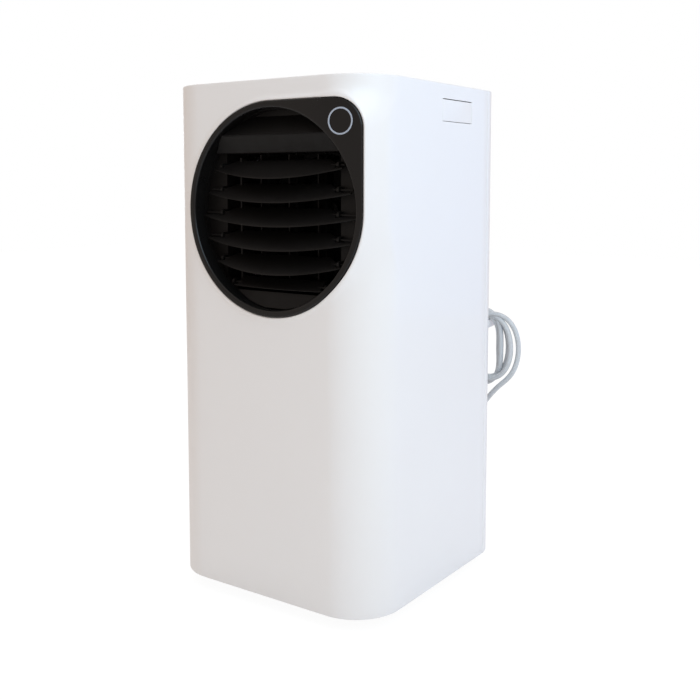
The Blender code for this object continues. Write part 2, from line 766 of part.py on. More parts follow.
def castor(x, y, word):
    """A swivelling fork with its axle, and the wheel that turns on it. The wheel trails towards the back."""
    wheel_y = y + CASTOR_TRAIL
    fork = rod(f"castor_fork_{word}", (x, y, 0.0335), 0.0135, 0.0095, "Z", STEEL, sides=24)
    join_rod(fork, (x, y, 0.042), 0.0040, 0.016, "Z", 16)
    for side in (-1, 1):
        cheek = sorted((x + side * (WHEEL_HALF_W + 0.0006), x + side * (WHEEL_HALF_W + 0.0026)))
        join_box(fork, (cheek[0], y - 0.002, 0.011), (cheek[1], wheel_y + 0.005, 0.0345))
    join_rod(fork, (x - 0.0095, wheel_y, WHEEL_R), 0.0020, 0.019, "X", 12)
    profile = [
        (0.0025, -WHEEL_HALF_W),
        (WHEEL_R - 0.0020, -WHEEL_HALF_W),
        (WHEEL_R, -WHEEL_HALF_W + 0.0020),
        (WHEEL_R, WHEEL_HALF_W - 0.0020),
        (WHEEL_R - 0.0020, WHEEL_HALF_W),
        (0.0025, WHEEL_HALF_W),
    ]
    turned(f"castor_wheel_{word}", profile, (x, wheel_y, WHEEL_R), "X", RUBBER, steps=28)


# ---------------------------------------------------------------- inside


def fan_wheel(name, centre, outer_r, inner_r, start_y, end_y, blades):
    """A drum fan about Y: a back disc with a hub, and a ring of blades between the disc and a front ring."""
    x, z = centre
    shell = [
        (0.0045, start_y),
        (0.016, start_y),
        (0.016, end_y - 0.004),
        (inner_r, end_y - 0.004),
        (inner_r, start_y),
        (outer_r, start_y),
        (outer_r, end_y),
        (0.0045, end_y),
    ]
    wheel = turned(name, shell, (x, 0, z), "Y", INNER, steps=36)
    slots = bmesh.new()
    open_share = 0.60
    size = (outer_r - inner_r + 0.006, end_y - start_y - 0.012, open_share * 2 * pi * inner_r / blades)
    middle = Matrix.Translation(((outer_r + inner_r) / 2, (start_y + end_y) / 2, 0))
    for i in range(blades):
        made = bmesh.ops.create_cube(slots, size=1)
        bmesh.ops.scale(slots, vec=size, verts=made["verts"])
        spin = Matrix.Rotation(2 * pi * i / blades, 4, "Y")
        bmesh.ops.transform(slots, matrix=spin @ middle, verts=made["verts"])
    bmesh.ops.translate(slots, vec=(x, 0, z), verts=slots.verts)
    cut(wheel, from_bmesh(name + "_slots", slots, None, CUTTERS))


def fan_housing(name, centre, radius, start_y, end_y, inlet_r, inlet_ring, floor_z):
    """A round housing on a foot, open to the front, with a ring of air inlets in its back wall."""
    x, z = centre
    wall = 0.0025
    cup = rod(name, (x, start_y, z), radius + wall, end_y - start_y, "Y", INNER, sides=44)
    join_box(cup, (x - 0.030, start_y + 0.006, floor_z), (x + 0.030, end_y - 0.006, z - radius + 0.010))
    cut_rod(cup, (x, start_y - 0.01, z), radius, end_y - wall - start_y + 0.01, "Y", 44)
    for inlet_x, inlet_z in circle((x, z), inlet_ring, 8):
        cut_rod(cup, (inlet_x, end_y - 0.01, inlet_z), inlet_r, 0.02, "Y", 16)
    return cup


def fan_motor(name, centre, radius, start_y, end_y, shaft_end_y):
    x, z = centre
    motor = rod(name, (x, start_y, z), radius, end_y - start_y, "Y", STEEL, sides=28)
    low, high = sorted((start_y + 0.002, shaft_end_y))
    join_rod(motor, (x, low, z), 0.0041, high - low, "Y", 12)


def finned_coil(name, low, high, bends, bend_x):
    """A finned heat exchanger as one block with its return bends standing out of one end."""
    coil = box(name, low, high, ALUMINIUM)
    pitch = (high[2] - low[2]) / bends
    side = 1 if bend_x > 0 else -1
    face = high[0] if side > 0 else low[0]
    start = face - 0.002 if side > 0 else face - 0.007
    for i in range(bends):
        z = low[2] + pitch * (i + 0.5)
        join_rod(coil, (start, (low[1] + high[1]) / 2, z), 0.0048, 0.009, "X", 10)


def insides():
    evaporator = (OUTLET_X, 0.5300)
    fan_housing("evaporator_housing", evaporator, 0.1100, -0.0965, 0.0700, 0.0200, 0.0680, 0.4100)
    fan_motor("evaporator_motor", evaporator, 0.036, 0.0290, 0.0670, -0.0300)
    fan_wheel("evaporator_fan", evaporator, 0.098, 0.080, -0.045, 0.022, 24)
    finned_coil("evaporator_coil", (-0.118, 0.112, 0.410), (0.118, 0.148, 0.640), 8, 1)

    condenser = (0.048, 0.168)
    housing = fan_housing("condenser_housing", condenser, 0.0860, 0.0200, 0.0980, 0.0150, 0.0580, 0.0495)
    join_box(housing, (-0.1240, 0.0240, 0.2500), (0.0340, 0.1360, 0.3980))
    cut_box(housing, (-0.1215, 0.0265, 0.2400), (0.0315, 0.1335, 0.3955))
    cut_rod(housing, (EXHAUST_X, 0.12, EXHAUST_Z), 0.0590, 0.04, "Y", 32)
    fan_motor("condenser_motor", condenser, 0.034, 0.0660, 0.0950, 0.0250)
    fan_wheel("condenser_fan", condenser, 0.076, 0.062, 0.022, 0.060, 20)
    finned_coil("condenser_coil", (-0.118, 0.112, 0.0590), (0.080, 0.148, 0.224), 6, -1)

    body = [
        (0.0, 0.0),
        (0.030, 0.002),
        (0.052, 0.012),
        (0.060, 0.032),
        (0.060, 0.190),
        (0.052, 0.208),
        (0.030, 0.218),
        (0.0, 0.220),
    ]
    compressor = turned("compressor", body, (-0.085, -0.070, 0.052), "Z", PAINT, steps=32)
    join_box(compressor, (-0.155, -0.090, 0.0494), (-0.015, -0.050, 0.060))
    tank = [(0.0, 0.0), (0.012, 0.004), (0.022, 0.018), (0.022, 0.120), (0.012, 0.134), (0.0, 0.138)]
    join(compressor, turned("accumulator", tank, (0.005, -0.090, 0.092), "Z", None, CUTTERS, steps=20))
    join_box(compressor, (-0.040, -0.096, 0.150), (0.000, -0.084, 0.158))

    tube(
        "discharge_pipe",
        [
            (-0.085, -0.070, 0.2725),
            (-0.085, -0.070, 0.296),
            (-0.100, -0.050, 0.325),
            (-0.138, 0.000, 0.320),
            (-0.150, 0.060, 0.290),
            (-0.146, 0.110, 0.250),
            (-0.139, 0.130, 0.214),
            (-0.1275, 0.130, 0.2103),
        ],
        0.0040,
        COPPER,
    )
    tube(
        "suction_pipe",
        [
            (0.1285, 0.130, 0.4531),
            (0.138, 0.124, 0.450),
            (0.1405, 0.104, 0.430),
            (0.140, 0.100, 0.395),
            (0.146, 0.060, 0.350),
            (0.120, -0.040, 0.300),
            (0.050, -0.090, 0.280),
            (0.007, -0.092, 0.262),
            (0.005, -0.090, 0.2305),
        ],
        0.0045,
        COPPER,
    )
    control = box("control_box", (-0.105, -0.060, 0.655), (0.105, 0.060, 0.695), INNER)
    softened(control, 0.003)


# ---------------------------------------------------------------- mains cord


def cord_gland():
    """The tapered strain relief that the cord leaves by."""
    length = GLAND_TIP_Y - BACK_Y
    profile = [
        (0.0, 0.0004),
        (0.0095, 0.0004),
        (0.0095, 0.0030),
        (0.0072, 0.0045),
        (0.0050, length),
        (0.0, length),
    ]
    turned("cord_gland", profile, (GLAND_X, BACK_Y, GLAND_Z), "Y", GREY, steps=20)


def cord_hook():
    """An upturned hook that the wound cord hangs over. Its foot follows the rounded rear corner."""
    x, top = COIL_X - 0.001, COIL_Z + COIL_HALF_H - COIL_RADIAL / 2 - 0.0021
    half = 0.007
    side = [
        (BACK_Y - 0.010, top - 0.040),
        (BACK_Y + 0.0034, top - 0.040),
        (BACK_Y + 0.0074, top - 0.014),
        (BACK_EXTENT, top - 0.010),
        (BACK_EXTENT, top + 0.010),
        (BACK_EXTENT - 0.0035, top + 0.010),
        (BACK_EXTENT - 0.0035, top),
        (BACK_Y + 0.0064, top),
        (BACK_Y + 0.0034, top + 0.020),
        (BACK_Y - 0.010, top + 0.020),
    ]
    hook = slab("cord_hook", [side], -half, half, "Y", WHITE)
    hook.data.transform(Matrix.Translation((x, 0, 0)) @ Matrix.Rotation(pi / 2, 4, "Z"))
    cut(hook, slab("hook_seat", [casing_plan(-GAP)], 0, 0.8, "Z", None, CUTTERS))


def cord_coil():
    """The wound turns as one oval ring."""
    shape = bmesh.new()
    steps, sides = 40, 10
    rings = []
    for i in range(steps):
        angle = 2 * pi * i / steps
        out = Vector((cos(angle) / COIL_HALF_W, 0, sin(angle) / COIL_HALF_H)).normalized()
        middle = Vector((COIL_X + COIL_HALF_W * cos(angle), COIL_Y, COIL_Z + COIL_HALF_H * sin(angle)))
        rings.append(
            [
                shape.verts.new(
                    middle
                    + out * (COIL_RADIAL / 2 * cos(2 * pi * j / sides))
                    + Vector((0, COIL_DEEP / 2 * sin(2 * pi * j / sides), 0))
                )
                for j in range(sides)
            ]
        )
    for i in range(steps):
        here, after = rings[i], rings[(i + 1) % steps]
        for j in range(sides):
            shape.faces.new((here[j], here[(j + 1) % sides], after[(j + 1) % sides], after[j]))
    from_bmesh("cord_coil", shape, CORD)


def plug():
    """A moulded mains plug hanging on the cord's end, pins down: taper, body and two round pins."""
    x, y, z = TAIL_ROUTE[-1]
    z -= 0.0004
    body = rod("plug", (x, y, z - 0.052), 0.0165, 0.026, "Z", GREY, sides=24)
    join_rod(body, (x, y, z - 0.030), 0.0120, 0.012, "Z", 20)
    taper = rod("plug_taper", (x, y, z - 0.020), 0.0080, 0.020, "Z", None, CUTTERS, 16, end_radius=0.0050)
    join(body, taper)
    for side in (-1, 1):
        join_rod(body, (x + side * 0.0095, y, z - 0.071), 0.0024, 0.020, "Z", 12)


def build():
    front_shell()
    rear_shell()
    top_cover()
    control_panel()
    base_pan()
    middle_tray()
    outlet_bezel()
    ring_light()
    duct_frame()
    for number in range(BLADE_COUNT):
        louvre_blade(number)
    louvre_link()
    swing_motor()
    for number in range(len(VANE_OFFSETS)):
        duct_vane(number)
    handle(-1, "left")
    handle(1, "right")
    filter_door()
    lower_grille()
    exhaust_collar()
    for name, (x, z) in DRAINS.items():
        drain_plug(name, x, z)
    for x, across in ((-CASTOR_XY, "left"), (CASTOR_XY, "right")):
        for y, along in ((-CASTOR_XY, "front"), (CASTOR_XY, "rear")):
            castor(x, y, f"{along}_{across}")
    insides()
    cord_gland()
    cord_hook()
    cord_coil()
    tube("cord_lead", LEAD_ROUTE, CORD_R, CORD, 0.012, 3)
    tube("cord_tail", TAIL_ROUTE, CORD_R, CORD, 0.015, 3)
    plug()


build()
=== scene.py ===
"""Portable air conditioner: its visible surfaces, with floor, light and camera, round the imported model.

Metres, +Z up, front towards -Y. Shapes are written from the middle of the casing, and each piece is then
set at MID_Y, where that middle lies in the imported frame.
"""

import json
from math import asin, cos, pi, radians, sin, sqrt, tau

import bmesh
import bpy
import numpy as np
from mathutils import Matrix, Vector
from mathutils.geometry import delaunay_2d_cdt


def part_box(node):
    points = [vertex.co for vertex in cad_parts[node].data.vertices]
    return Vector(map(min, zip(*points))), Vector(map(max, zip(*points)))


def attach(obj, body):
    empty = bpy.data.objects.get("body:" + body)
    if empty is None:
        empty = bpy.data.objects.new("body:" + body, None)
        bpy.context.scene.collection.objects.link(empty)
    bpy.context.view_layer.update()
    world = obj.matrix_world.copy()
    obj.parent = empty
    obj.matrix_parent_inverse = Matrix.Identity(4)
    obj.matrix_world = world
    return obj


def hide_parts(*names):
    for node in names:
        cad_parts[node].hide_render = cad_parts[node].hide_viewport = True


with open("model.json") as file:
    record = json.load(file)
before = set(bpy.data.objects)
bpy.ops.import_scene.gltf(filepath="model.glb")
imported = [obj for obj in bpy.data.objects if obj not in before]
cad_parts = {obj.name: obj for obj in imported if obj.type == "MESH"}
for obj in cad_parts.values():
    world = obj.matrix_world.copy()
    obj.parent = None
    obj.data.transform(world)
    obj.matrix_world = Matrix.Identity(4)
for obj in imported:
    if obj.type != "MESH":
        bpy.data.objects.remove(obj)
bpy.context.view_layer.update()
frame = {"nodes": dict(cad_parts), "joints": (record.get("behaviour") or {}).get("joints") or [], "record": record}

NODES = frame["nodes"]
PIVOTS = {joint["name"]: joint["pos_m"] for joint in frame["joints"] if "pos_m" in joint}

# Casing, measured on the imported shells
HALF_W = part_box("rear_shell")[1].x
MID_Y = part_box("rear_shell")[1].y - HALF_W
FRONT_Y, BACK_Y = -HALF_W, HALF_W
SPLIT_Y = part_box("front_shell")[1].y - MID_Y
SKIRT_Z, TOP_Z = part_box("front_shell")[0].z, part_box("front_shell")[1].z
FRONT_R = 0.0675
REAR_R = BACK_Y - SPLIT_Y
WALL = 0.0028
TOP_EDGE = 0.0016
SHARP_ANGLE = radians(32)

# Outlet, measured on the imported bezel
BEZEL_LOW, BEZEL_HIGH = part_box("outlet_bezel")
OUTLET_R = (BEZEL_HIGH.z - BEZEL_LOW.z) / 2
OUTLET_X = BEZEL_LOW.x + OUTLET_R
OUTLET_Z = (BEZEL_HIGH.z + BEZEL_LOW.z) / 2
BEZEL_FRONT_Y = BEZEL_LOW.y - MID_Y
BEZEL_BACK_Y = BEZEL_HIGH.y - MID_Y
OUTLET_CORNER_R = 0.038
OUTLET_INNER_R = 0.130
SWEEP_START_X = 0.080
SWEEP_RADIUS = 0.307
BOSS_PROUD = 0.001


# ---------------------------------------------------------------- node trees


def feed(tree, node, inputs):
    """Sets a node's inputs by name or number. A value that is another node's output is linked."""
    for key, value in inputs.items():
        if isinstance(value, bpy.types.NodeSocket):
            tree.links.new(value, node.inputs[key])
        else:
            node.inputs[key].default_value = value


def add_node(tree, kind, inputs=None, **settings):
    node = tree.nodes.new("ShaderNode" + kind)
    for key, value in settings.items():
        setattr(node, key, value)
    feed(tree, node, inputs or {})
    return node


def new_material(name):
    made = bpy.data.materials.new(name)
    made.use_nodes = True
    return made, made.node_tree, made.node_tree.nodes["Principled BSDF"]


def for_camera(tree, share, usual, seen):
    """The usual shader, with a share of another one where the camera looks straight at it."""
    ray = add_node(tree, "LightPath").outputs["Is Camera Ray"]
    part = add_node(tree, "Math", {0: ray, 1: share}, operation="MULTIPLY").outputs[0]
    return add_node(tree, "MixShader", {0: part, 1: usual.outputs[0], 2: seen.outputs[0]}).outputs[0]


# ---------------------------------------------------------------- camera, light and floor


CAMERA_PLACE = (0.8107, -1.1249, 0.5713)
CAMERA_HEADING = radians(35.04)
CAMERA_DIP = radians(5.17)
CAMERA_LENS = 49.31
CAMERA_SHIFT = -0.1153

# Name, place, target, side in metres, power in watts and colour of each light
LIGHTS = (
    ("window", (1.37, -0.68, 1.5), (0, 0, 0.45), 1.3, 19, (0.600, 0.822, 1.0)),
    ("cool_fill", (0.95, 0.90, 0.60), (0.17, 0.1, 0.40), 0.8, 1.8, (0.03, 0.34, 1.0)),
    ("rear_fill", (-1.4, 1.3, 1.0), (0, 0.1, 0.35), 1.2, 9, (0.72, 0.88, 1.0)),
    ("overhead", (0.3, 0.2, 2.8), (0, 0, 0.3), 3.0, 12, (1, 0.97, 0.94)),
)
AMBIENT_COLOUR = (1.0, 0.874, 0.794, 1)
AMBIENT_STRENGTH = 0.682
FLOOR_HALF = 6
FLOOR_COLOUR = (0.93, 0.93, 0.93, 1)
FLOOR_ROUGHNESS = 0.9
FLOOR_GLOW = 1.06
FLOOR_GLOW_SHARE = 0.9


def aimed(name, data, place, forward):
    """A new object at a place in the frame that looks along a direction."""
    made = bpy.data.objects.new(name, data)
    bpy.context.scene.collection.objects.link(made)
    made.location = place
    made.rotation_mode = "QUATERNION"
    made.rotation_quaternion = forward.to_track_quat("-Z", "Y")
    return made


def make_camera():
    data = bpy.data.cameras.new("camera")
    data.lens = CAMERA_LENS
    data.sensor_width = 36
    data.shift_y = CAMERA_SHIFT
    level = cos(CAMERA_DIP)
    forward = Vector((-sin(CAMERA_HEADING) * level, cos(CAMERA_HEADING) * level, -sin(CAMERA_DIP)))
    x, y, z = CAMERA_PLACE
    bpy.context.scene.camera = aimed("camera", data, (x, y + MID_Y, z), forward)


def area_light(name, place, target, side, power, colour):
    data = bpy.data.lights.new(name, "AREA")
    data.size = side
    data.energy = power
    data.color = colour
    aimed(name, data, place, Vector(target) - Vector(place))


def make_studio():
    scene = bpy.context.scene
    scene.view_settings.view_transform = "Standard"
    scene.view_settings.look = "None"
    scene.world = bpy.data.worlds.new("studio")
    scene.world.use_nodes = True
    tree = scene.world.node_tree
    tree.nodes.clear()
    backdrop = add_node(tree, "Background", {"Color": (1, 1, 1, 1), "Strength": 1.0})
    ambient = add_node(tree, "Background", {"Color": AMBIENT_COLOUR, "Strength": AMBIENT_STRENGTH})
    add_node(tree, "OutputWorld", {"Surface": for_camera(tree, 1.0, ambient, backdrop)})
    for light in LIGHTS:
        area_light(*light)


def make_floor():
    shape = bmesh.new()
    bmesh.ops.create_grid(shape, x_segments=8, y_segments=8, size=FLOOR_HALF)
    mesh = bpy.data.meshes.new("floor")
    shape.to_mesh(mesh)
    shape.free()
    floor = bpy.data.objects.new("floor", mesh)
    bpy.context.scene.collection.objects.link(floor)
    paper, tree, shader = new_material("floor_paper")
    feed(tree, shader, {"Base Color": FLOOR_COLOUR, "Roughness": FLOOR_ROUGHNESS})
    glow = add_node(tree, "Emission", {"Strength": FLOOR_GLOW})
    shown = for_camera(tree, FLOOR_GLOW_SHARE, shader, glow)
    feed(tree, tree.nodes["Material Output"], {"Surface": shown})
    mesh.materials.append(paper)


# ---------------------------------------------------------------- materials


def noise(tree, scale, detail, stretch=None):
    """A noise texture on object coordinates. stretch multiplies the coordinates along X, Y and Z."""
    source = add_node(tree, "TexCoord").outputs["Object"]
    if stretch:
        source = add_node(tree, "Mapping", {"Vector": source, "Scale": stretch}).outputs[0]
    return add_node(tree, "TexNoise", {"Vector": source, "Scale": scale, "Detail": detail}).outputs["Fac"]


def bands(tree, direction, scale, distortion, detail_scale=1.0):
    """Straight waves across one direction of the object's coordinates."""
    inputs = {
        "Vector": add_node(tree, "TexCoord").outputs["Object"],
        "Scale": scale,
        "Distortion": distortion,
        "Detail Scale": detail_scale,
    }
    return add_node(tree, "TexWave", inputs, bands_direction=direction).outputs["Fac"]


def spread(tree, source, low, high):
    """The source's middle range spread over low to high."""
    inputs = {"Value": source, "From Min": 0.3, "From Max": 0.7, "To Min": low, "To Max": high}
    return add_node(tree, "MapRange", inputs).outputs[0]


def tinted(tree, source, first, second):
    """A colour that goes from the first to the second with the source."""
    inputs = {"Factor": source, "A": (*first, 1), "B": (*second, 1)}
    return add_node(tree, "Mix", inputs, data_type="RGBA").outputs["Result"]


def bump(tree, height, strength, distance):
    inputs = {"Height": height, "Strength": strength, "Distance": distance}
    return add_node(tree, "Bump", inputs).outputs[0]


def plastic(name, colour, shade, rough, grain=1500, depth=0.00004, coat=0.0, waves=9, level=0.5):
    """Moulded plastic: spark-eroded grain, slow changes of tone, and gloss that varies over the surface."""
    made, tree, shader = new_material(name)
    cloud = spread(tree, noise(tree, waves, 4), 0, 1)
    darker = tuple(c * (1 - shade) for c in colour)
    inputs = {
        "Base Color": tinted(tree, cloud, colour, darker),
        "Roughness": spread(tree, noise(tree, 60, 5), *rough),
        "Normal": bump(tree, noise(tree, grain, 2), 0.35, depth),
        "Specular IOR Level": level,
    }
    feed(tree, shader, inputs)
    if coat:
        feed(tree, shader, {"Coat Weight": coat, "Coat Roughness": 0.06})
    return made


def metal(name, colour, rough=(0.25, 0.42), stretch=(1, 1, 14), grain=300):
    """Drawn or rolled metal with fine scratches along one direction."""
    made, tree, shader = new_material(name)
    streak = noise(tree, grain, 4, stretch)
    darker = tuple(c * 0.82 for c in colour)
    inputs = {
        "Metallic": 1.0,
        "Base Color": tinted(tree, spread(tree, streak, 0, 1), colour, darker),
        "Roughness": spread(tree, streak, *rough),
        "Normal": bump(tree, streak, 0.3, 0.00005),
    }
    feed(tree, shader, inputs)
    return made


def finned(name):
    """Aluminium fins, 1.6 mm apart, with painted shade in the gaps between them."""
    made, tree, shader = new_material(name)
    fins = bands(tree, "X", 196, 0.4, 2)
    inputs = {
        "Metallic": 0.85,
        # The dark end of this tint is painted shade in the gaps between the fins.
        "Base Color": tinted(tree, fins, (0.10, 0.10, 0.11), (0.74, 0.75, 0.77)),
        "Roughness": 0.42,
        "Normal": bump(tree, fins, 0.8, 0.0006),
    }
    feed(tree, shader, inputs)
    return made


def woven(name, colour, dark, cell):
    """A fine square net: threads over gaps painted dark as the shade behind the net."""
    made, tree, shader = new_material(name)
    across, up = (bands(tree, direction, tau / (20 * cell), 0.15) for direction in ("X", "Z"))
    over = add_node(tree, "Math", {0: across, 1: up}, operation="MAXIMUM").outputs[0]
    edge = add_node(tree, "MapRange", {"Value": over, "From Min": 0.70, "From Max": 0.85}).outputs[0]
    inputs = {
        # The dark colour in the gaps is painted shade from behind the net.
        "Base Color": tinted(tree, edge, dark, colour),
        "Roughness": 0.7,
        "Normal": bump(tree, over, 0.8, 0.0004),
    }
    feed(tree, shader, inputs)
    return made


def glowing(name, colour, strength):
    """A lit diffuser, a little uneven in tone and gloss."""
    made, tree, shader = new_material(name)
    cloud = spread(tree, noise(tree, 40, 2), 0, 1)
    dimmer = tuple(c * 0.92 for c in colour)
    inputs = {
        "Base Color": tinted(tree, cloud, colour, dimmer),
        "Emission Color": (*colour, 1),
        "Emission Strength": strength,
        "Roughness": spread(tree, noise(tree, 300, 2), 0.25, 0.4),
    }
    feed(tree, shader, inputs)
    return made


DARK = plastic("satin_black", (0.0056, 0.0050, 0.0047), 0.15, (0.40, 0.52), 1400, 0.00003, level=0.16)
PANEL = plastic("panel_black", (0.012, 0.012, 0.013), 0.1, (0.12, 0.18), 700, 0.000006, coat=0.8)
PALE = plastic("pale_grey", (0.62, 0.62, 0.61), 0.05, (0.45, 0.6))
SHEATH = plastic("cord_sheath", (0.56, 0.585, 0.60), 0.06, (0.34, 0.46), 1100, waves=25)
RUBBER = plastic("castor_rubber", (0.045, 0.045, 0.046), 0.25, (0.6, 0.8), 800, 0.00008)
STEEL = metal("zinc_steel", (0.56, 0.56, 0.57))
# The net's second colour is the painted shade seen through its holes.
NET = woven("filter_net", (0.20, 0.21, 0.22), (0.012, 0.012, 0.013), 0.0022)
LED = glowing("display_glow", (0.75, 0.86, 1.0), 1.6)
GLOSS_COLOUR = (0.0050, 0.0047, 0.0046)
FINISHES = {
    "white_casing": plastic("white_abs", (0.80, 0.792, 0.785), 0.012, (0.36, 0.44), 1300, 0.00003, 0.15),
    "gloss_black": plastic("gloss_black", GLOSS_COLOUR, 0.1, (0.26, 0.34), 900, 0.00001, 0.08, level=0.24),
    "dark_plastic": DARK,
    "grey_plastic": plastic("grey_plastic", (0.33, 0.34, 0.35), 0.06, (0.42, 0.55)),
    "inner_plastic": plastic("inner_plastic", (0.50, 0.50, 0.48), 0.08, (0.5, 0.65), 900),
    "bare_steel": STEEL,
    "black_paint": plastic("compressor_enamel", (0.02, 0.02, 0.021), 0.3, (0.28, 0.4), 260, 0.00012),
    "fin_aluminium": finned("coil_fins"),
    "copper": metal("copper", (0.74, 0.39, 0.25), (0.22, 0.38), (3, 3, 3), 120),
    "castor_rubber": RUBBER,
    "grey_cord": SHEATH,
    "ring_light": glowing("ring_glow", (0.36, 0.40, 0.47), 0.02),
}


# ---------------------------------------------------------------- mesh helpers


def flat_box(node):
    """The node's lowest and highest corners, written from the middle of the casing."""
    low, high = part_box(node)
    return Vector((low.x, low.y - MID_Y, low.z)), Vector((high.x, high.y - MID_Y, high.z))


def face_middle(node):
    """The (x, z) middle of a node that faces forwards or back."""
    low, high = flat_box(node)
    return (low.x + high.x) / 2, (low.z + high.z) / 2


def loft(loops, wrap=False):
    """(points, faces) that join a row of closed loops with equal counts, capped unless it wraps round."""
    count = len(loops[0])
    points = [tuple(p) for loop in loops for p in loop]
    faces = []
    for i in range(len(loops) if wrap else len(loops) - 1):
        here, after = i * count, ((i + 1) % len(loops)) * count
        for j in range(count):
            k = (j + 1) % count
            faces.append((here + j, here + k, after + k, after + j))
    if not wrap:
        last = (len(loops) - 1) * count
        faces.append(tuple(range(count - 1, -1, -1)))
        faces.append(tuple(range(last, last + count)))
    return points, faces


AXES = {
    "X": lambda across, up, along: (along, across, up),
    "Y": lambda across, up, along: (across, along, up),
    "Z": lambda across, up, along: (across, up, along),
}


def turn(profile, centre, axis, steps):
    """A closed profile of (radius, place along the axis) turned round an axis through a point."""
    loops = []
    for i in range(steps):
        angle = tau * i / steps
        spun = [AXES[axis](r * cos(angle), r * sin(angle), along) for r, along in profile]
        loops.append([tuple(a + b for a, b in zip(p, centre)) for p in spun])
    return loft(loops, wrap=True)


def rod(radius, start, end):
    """The profile of a plain rod."""
    return [(0, start), (radius, start), (radius, end), (0, end)]


def mirrored(profile):
    """A profile that starts at one end, with its mirror image joined on."""
    return profile + [(r, -along) for r, along in reversed(profile)]


def arc(centre, radius, start_deg, end_deg, steps):
    angles = [radians(start_deg + (end_deg - start_deg) * i / steps) for i in range(steps + 1)]
    return [(centre[0] + radius * cos(a), centre[1] + radius * sin(a)) for a in angles]


def rounded_rectangle(low, high, radius, steps=5):
    (x0, y0), (x1, y1) = low, high
    points = []
    for centre, start in (
        ((x1 - radius, y0 + radius), -90),
        ((x1 - radius, y1 - radius), 0),
        ((x0 + radius, y1 - radius), 90),
        ((x0 + radius, y0 + radius), 180),
    ):
        points += arc(centre, radius, start, start + 90, steps)
    return points


def edge_steps(edge, count=4):
    """(inset, drop) pairs of a quarter-round edge, from the side to the face."""
    angles = [pi / 2 * i / count for i in range(count + 1)]
    return [(edge * (1 - cos(a)), edge * (1 - sin(a))) for a in angles]


def block(low, high, corner, edge, axis, steps=5):
    """A block with rounded corners seen along its axis, and rounded edges on both faces."""
    pick = {"X": (1, 2, 0), "Y": (0, 2, 1), "Z": (0, 1, 2)}[axis]
    a0, b0, c0 = (low[i] for i in pick)
    a1, b1, c1 = (high[i] for i in pick)
    levels = [(inset, c0 + drop) for inset, drop in reversed(edge_steps(edge))]
    levels += [(inset, c1 - drop) for inset, drop in edge_steps(edge)]
    loops = []
    for inset, along in levels:
        first, last = (a0 + inset, b0 + inset), (a1 - inset, b1 - inset)
        outline = rounded_rectangle(first, last, max(corner - inset, 0.0002), steps)
        loops.append([AXES[axis](a, b, along) for a, b in outline])
    return loft(loops)


def moved(shape, matrix):
    points, faces = shape
    return [tuple(matrix @ Vector(p)) for p in points], faces


def smoothed(mesh):
    mesh.shade_smooth()
    mesh.set_sharp_from_angle(angle=SHARP_ANGLE)


def piece(name, shapes, finish, body="casing", nodes=()):
    """One visible object of several (points, faces) shapes, riding on a body and standing for CAD nodes."""
    shape = bmesh.new()
    for points, faces in shapes:
        made = [shape.verts.new(p) for p in points]
        for face in faces:
            shape.faces.new([made[i] for i in face])
    bmesh.ops.remove_doubles(shape, verts=shape.verts, dist=1e-6)
    bmesh.ops.recalc_face_normals(shape, faces=shape.faces)
    mesh = bpy.data.meshes.new(name)
    shape.to_mesh(mesh)
    shape.free()
    return adopt(name, mesh, finish, body, nodes)


def cover(node, shapes, slot, body="casing", finish=None):
    """A piece in place of one CAD node, in the finish of its slot unless another is given."""
    return piece(node + "_skin", shapes, finish or FINISHES[slot], body, [node])


def adopt(name, mesh, finish, body, nodes):
    """Sets a mesh in its place in the frame as a piece."""
    mesh.materials.append(finish)
    obj = bpy.data.objects.new(name, mesh)
    bpy.context.scene.collection.objects.link(obj)
    obj.location = (0, MID_Y, 0)
    smoothed(mesh)
    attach(obj, body)
    if nodes:
        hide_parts(*nodes)
    return obj


def apply_modifiers(obj):
    """Keeps what the object's modifiers make as its mesh."""
    graph = bpy.context.evaluated_depsgraph_get()
    mesh = bpy.data.meshes.new_from_object(obj.evaluated_get(graph))
    obj.modifiers.clear()
    obj.data = mesh
    smoothed(mesh)


def carve(obj, shapes):
    """Cuts closed shapes out of a piece."""
    for shape in shapes:
        cutter = piece(obj.name + "_cutter", [shape], DARK)
        modifier = obj.modifiers.new("cut", "BOOLEAN")
        modifier.object = cutter
        modifier.solver = "EXACT"
        apply_modifiers(obj)
        bpy.data.objects.remove(cutter, do_unlink=True)


# ---------------------------------------------------------------- casing skins


FLAT_HALF = HALF_W - FRONT_R
CORNER_LENGTH = FRONT_R * pi / 2
REAR_FLAT = HALF_W - REAR_R
REAR_CORNER = REAR_R * pi / 2
TOP_ROWS = [TOP_Z - TOP_EDGE * (1 - sin(pi / 2 * i / 4)) for i in range(5)]


def wrapped_plan(u, flat, radius, face_y, inwards):
    """Points and outward directions along a shell's plan; u runs from the middle of its face."""
    side = np.sign(u)
    across = np.abs(u)
    angle = np.clip((across - flat) / radius, 0, pi / 2)
    past = np.maximum(across - flat - radius * pi / 2, 0)
    x = np.minimum(across, flat) + radius * np.sin(angle)
    y = face_y + inwards * (radius * (1 - np.cos(angle)) + past)
    return np.stack([side * x, y], 1), np.stack([side * np.sin(angle), -inwards * np.cos(angle)], 1)


def front_plan(u):
    return wrapped_plan(u, FLAT_HALF, FRONT_R, FRONT_Y, 1)


def rear_plan(u):
    return wrapped_plan(u, REAR_FLAT, REAR_R, BACK_Y, -1)


def outlet_sweep(x):
    """How far the outlet's face falls back at a place across it."""
    return np.maximum(0, x - SWEEP_START_X) ** 2 / (2 * SWEEP_RADIUS)


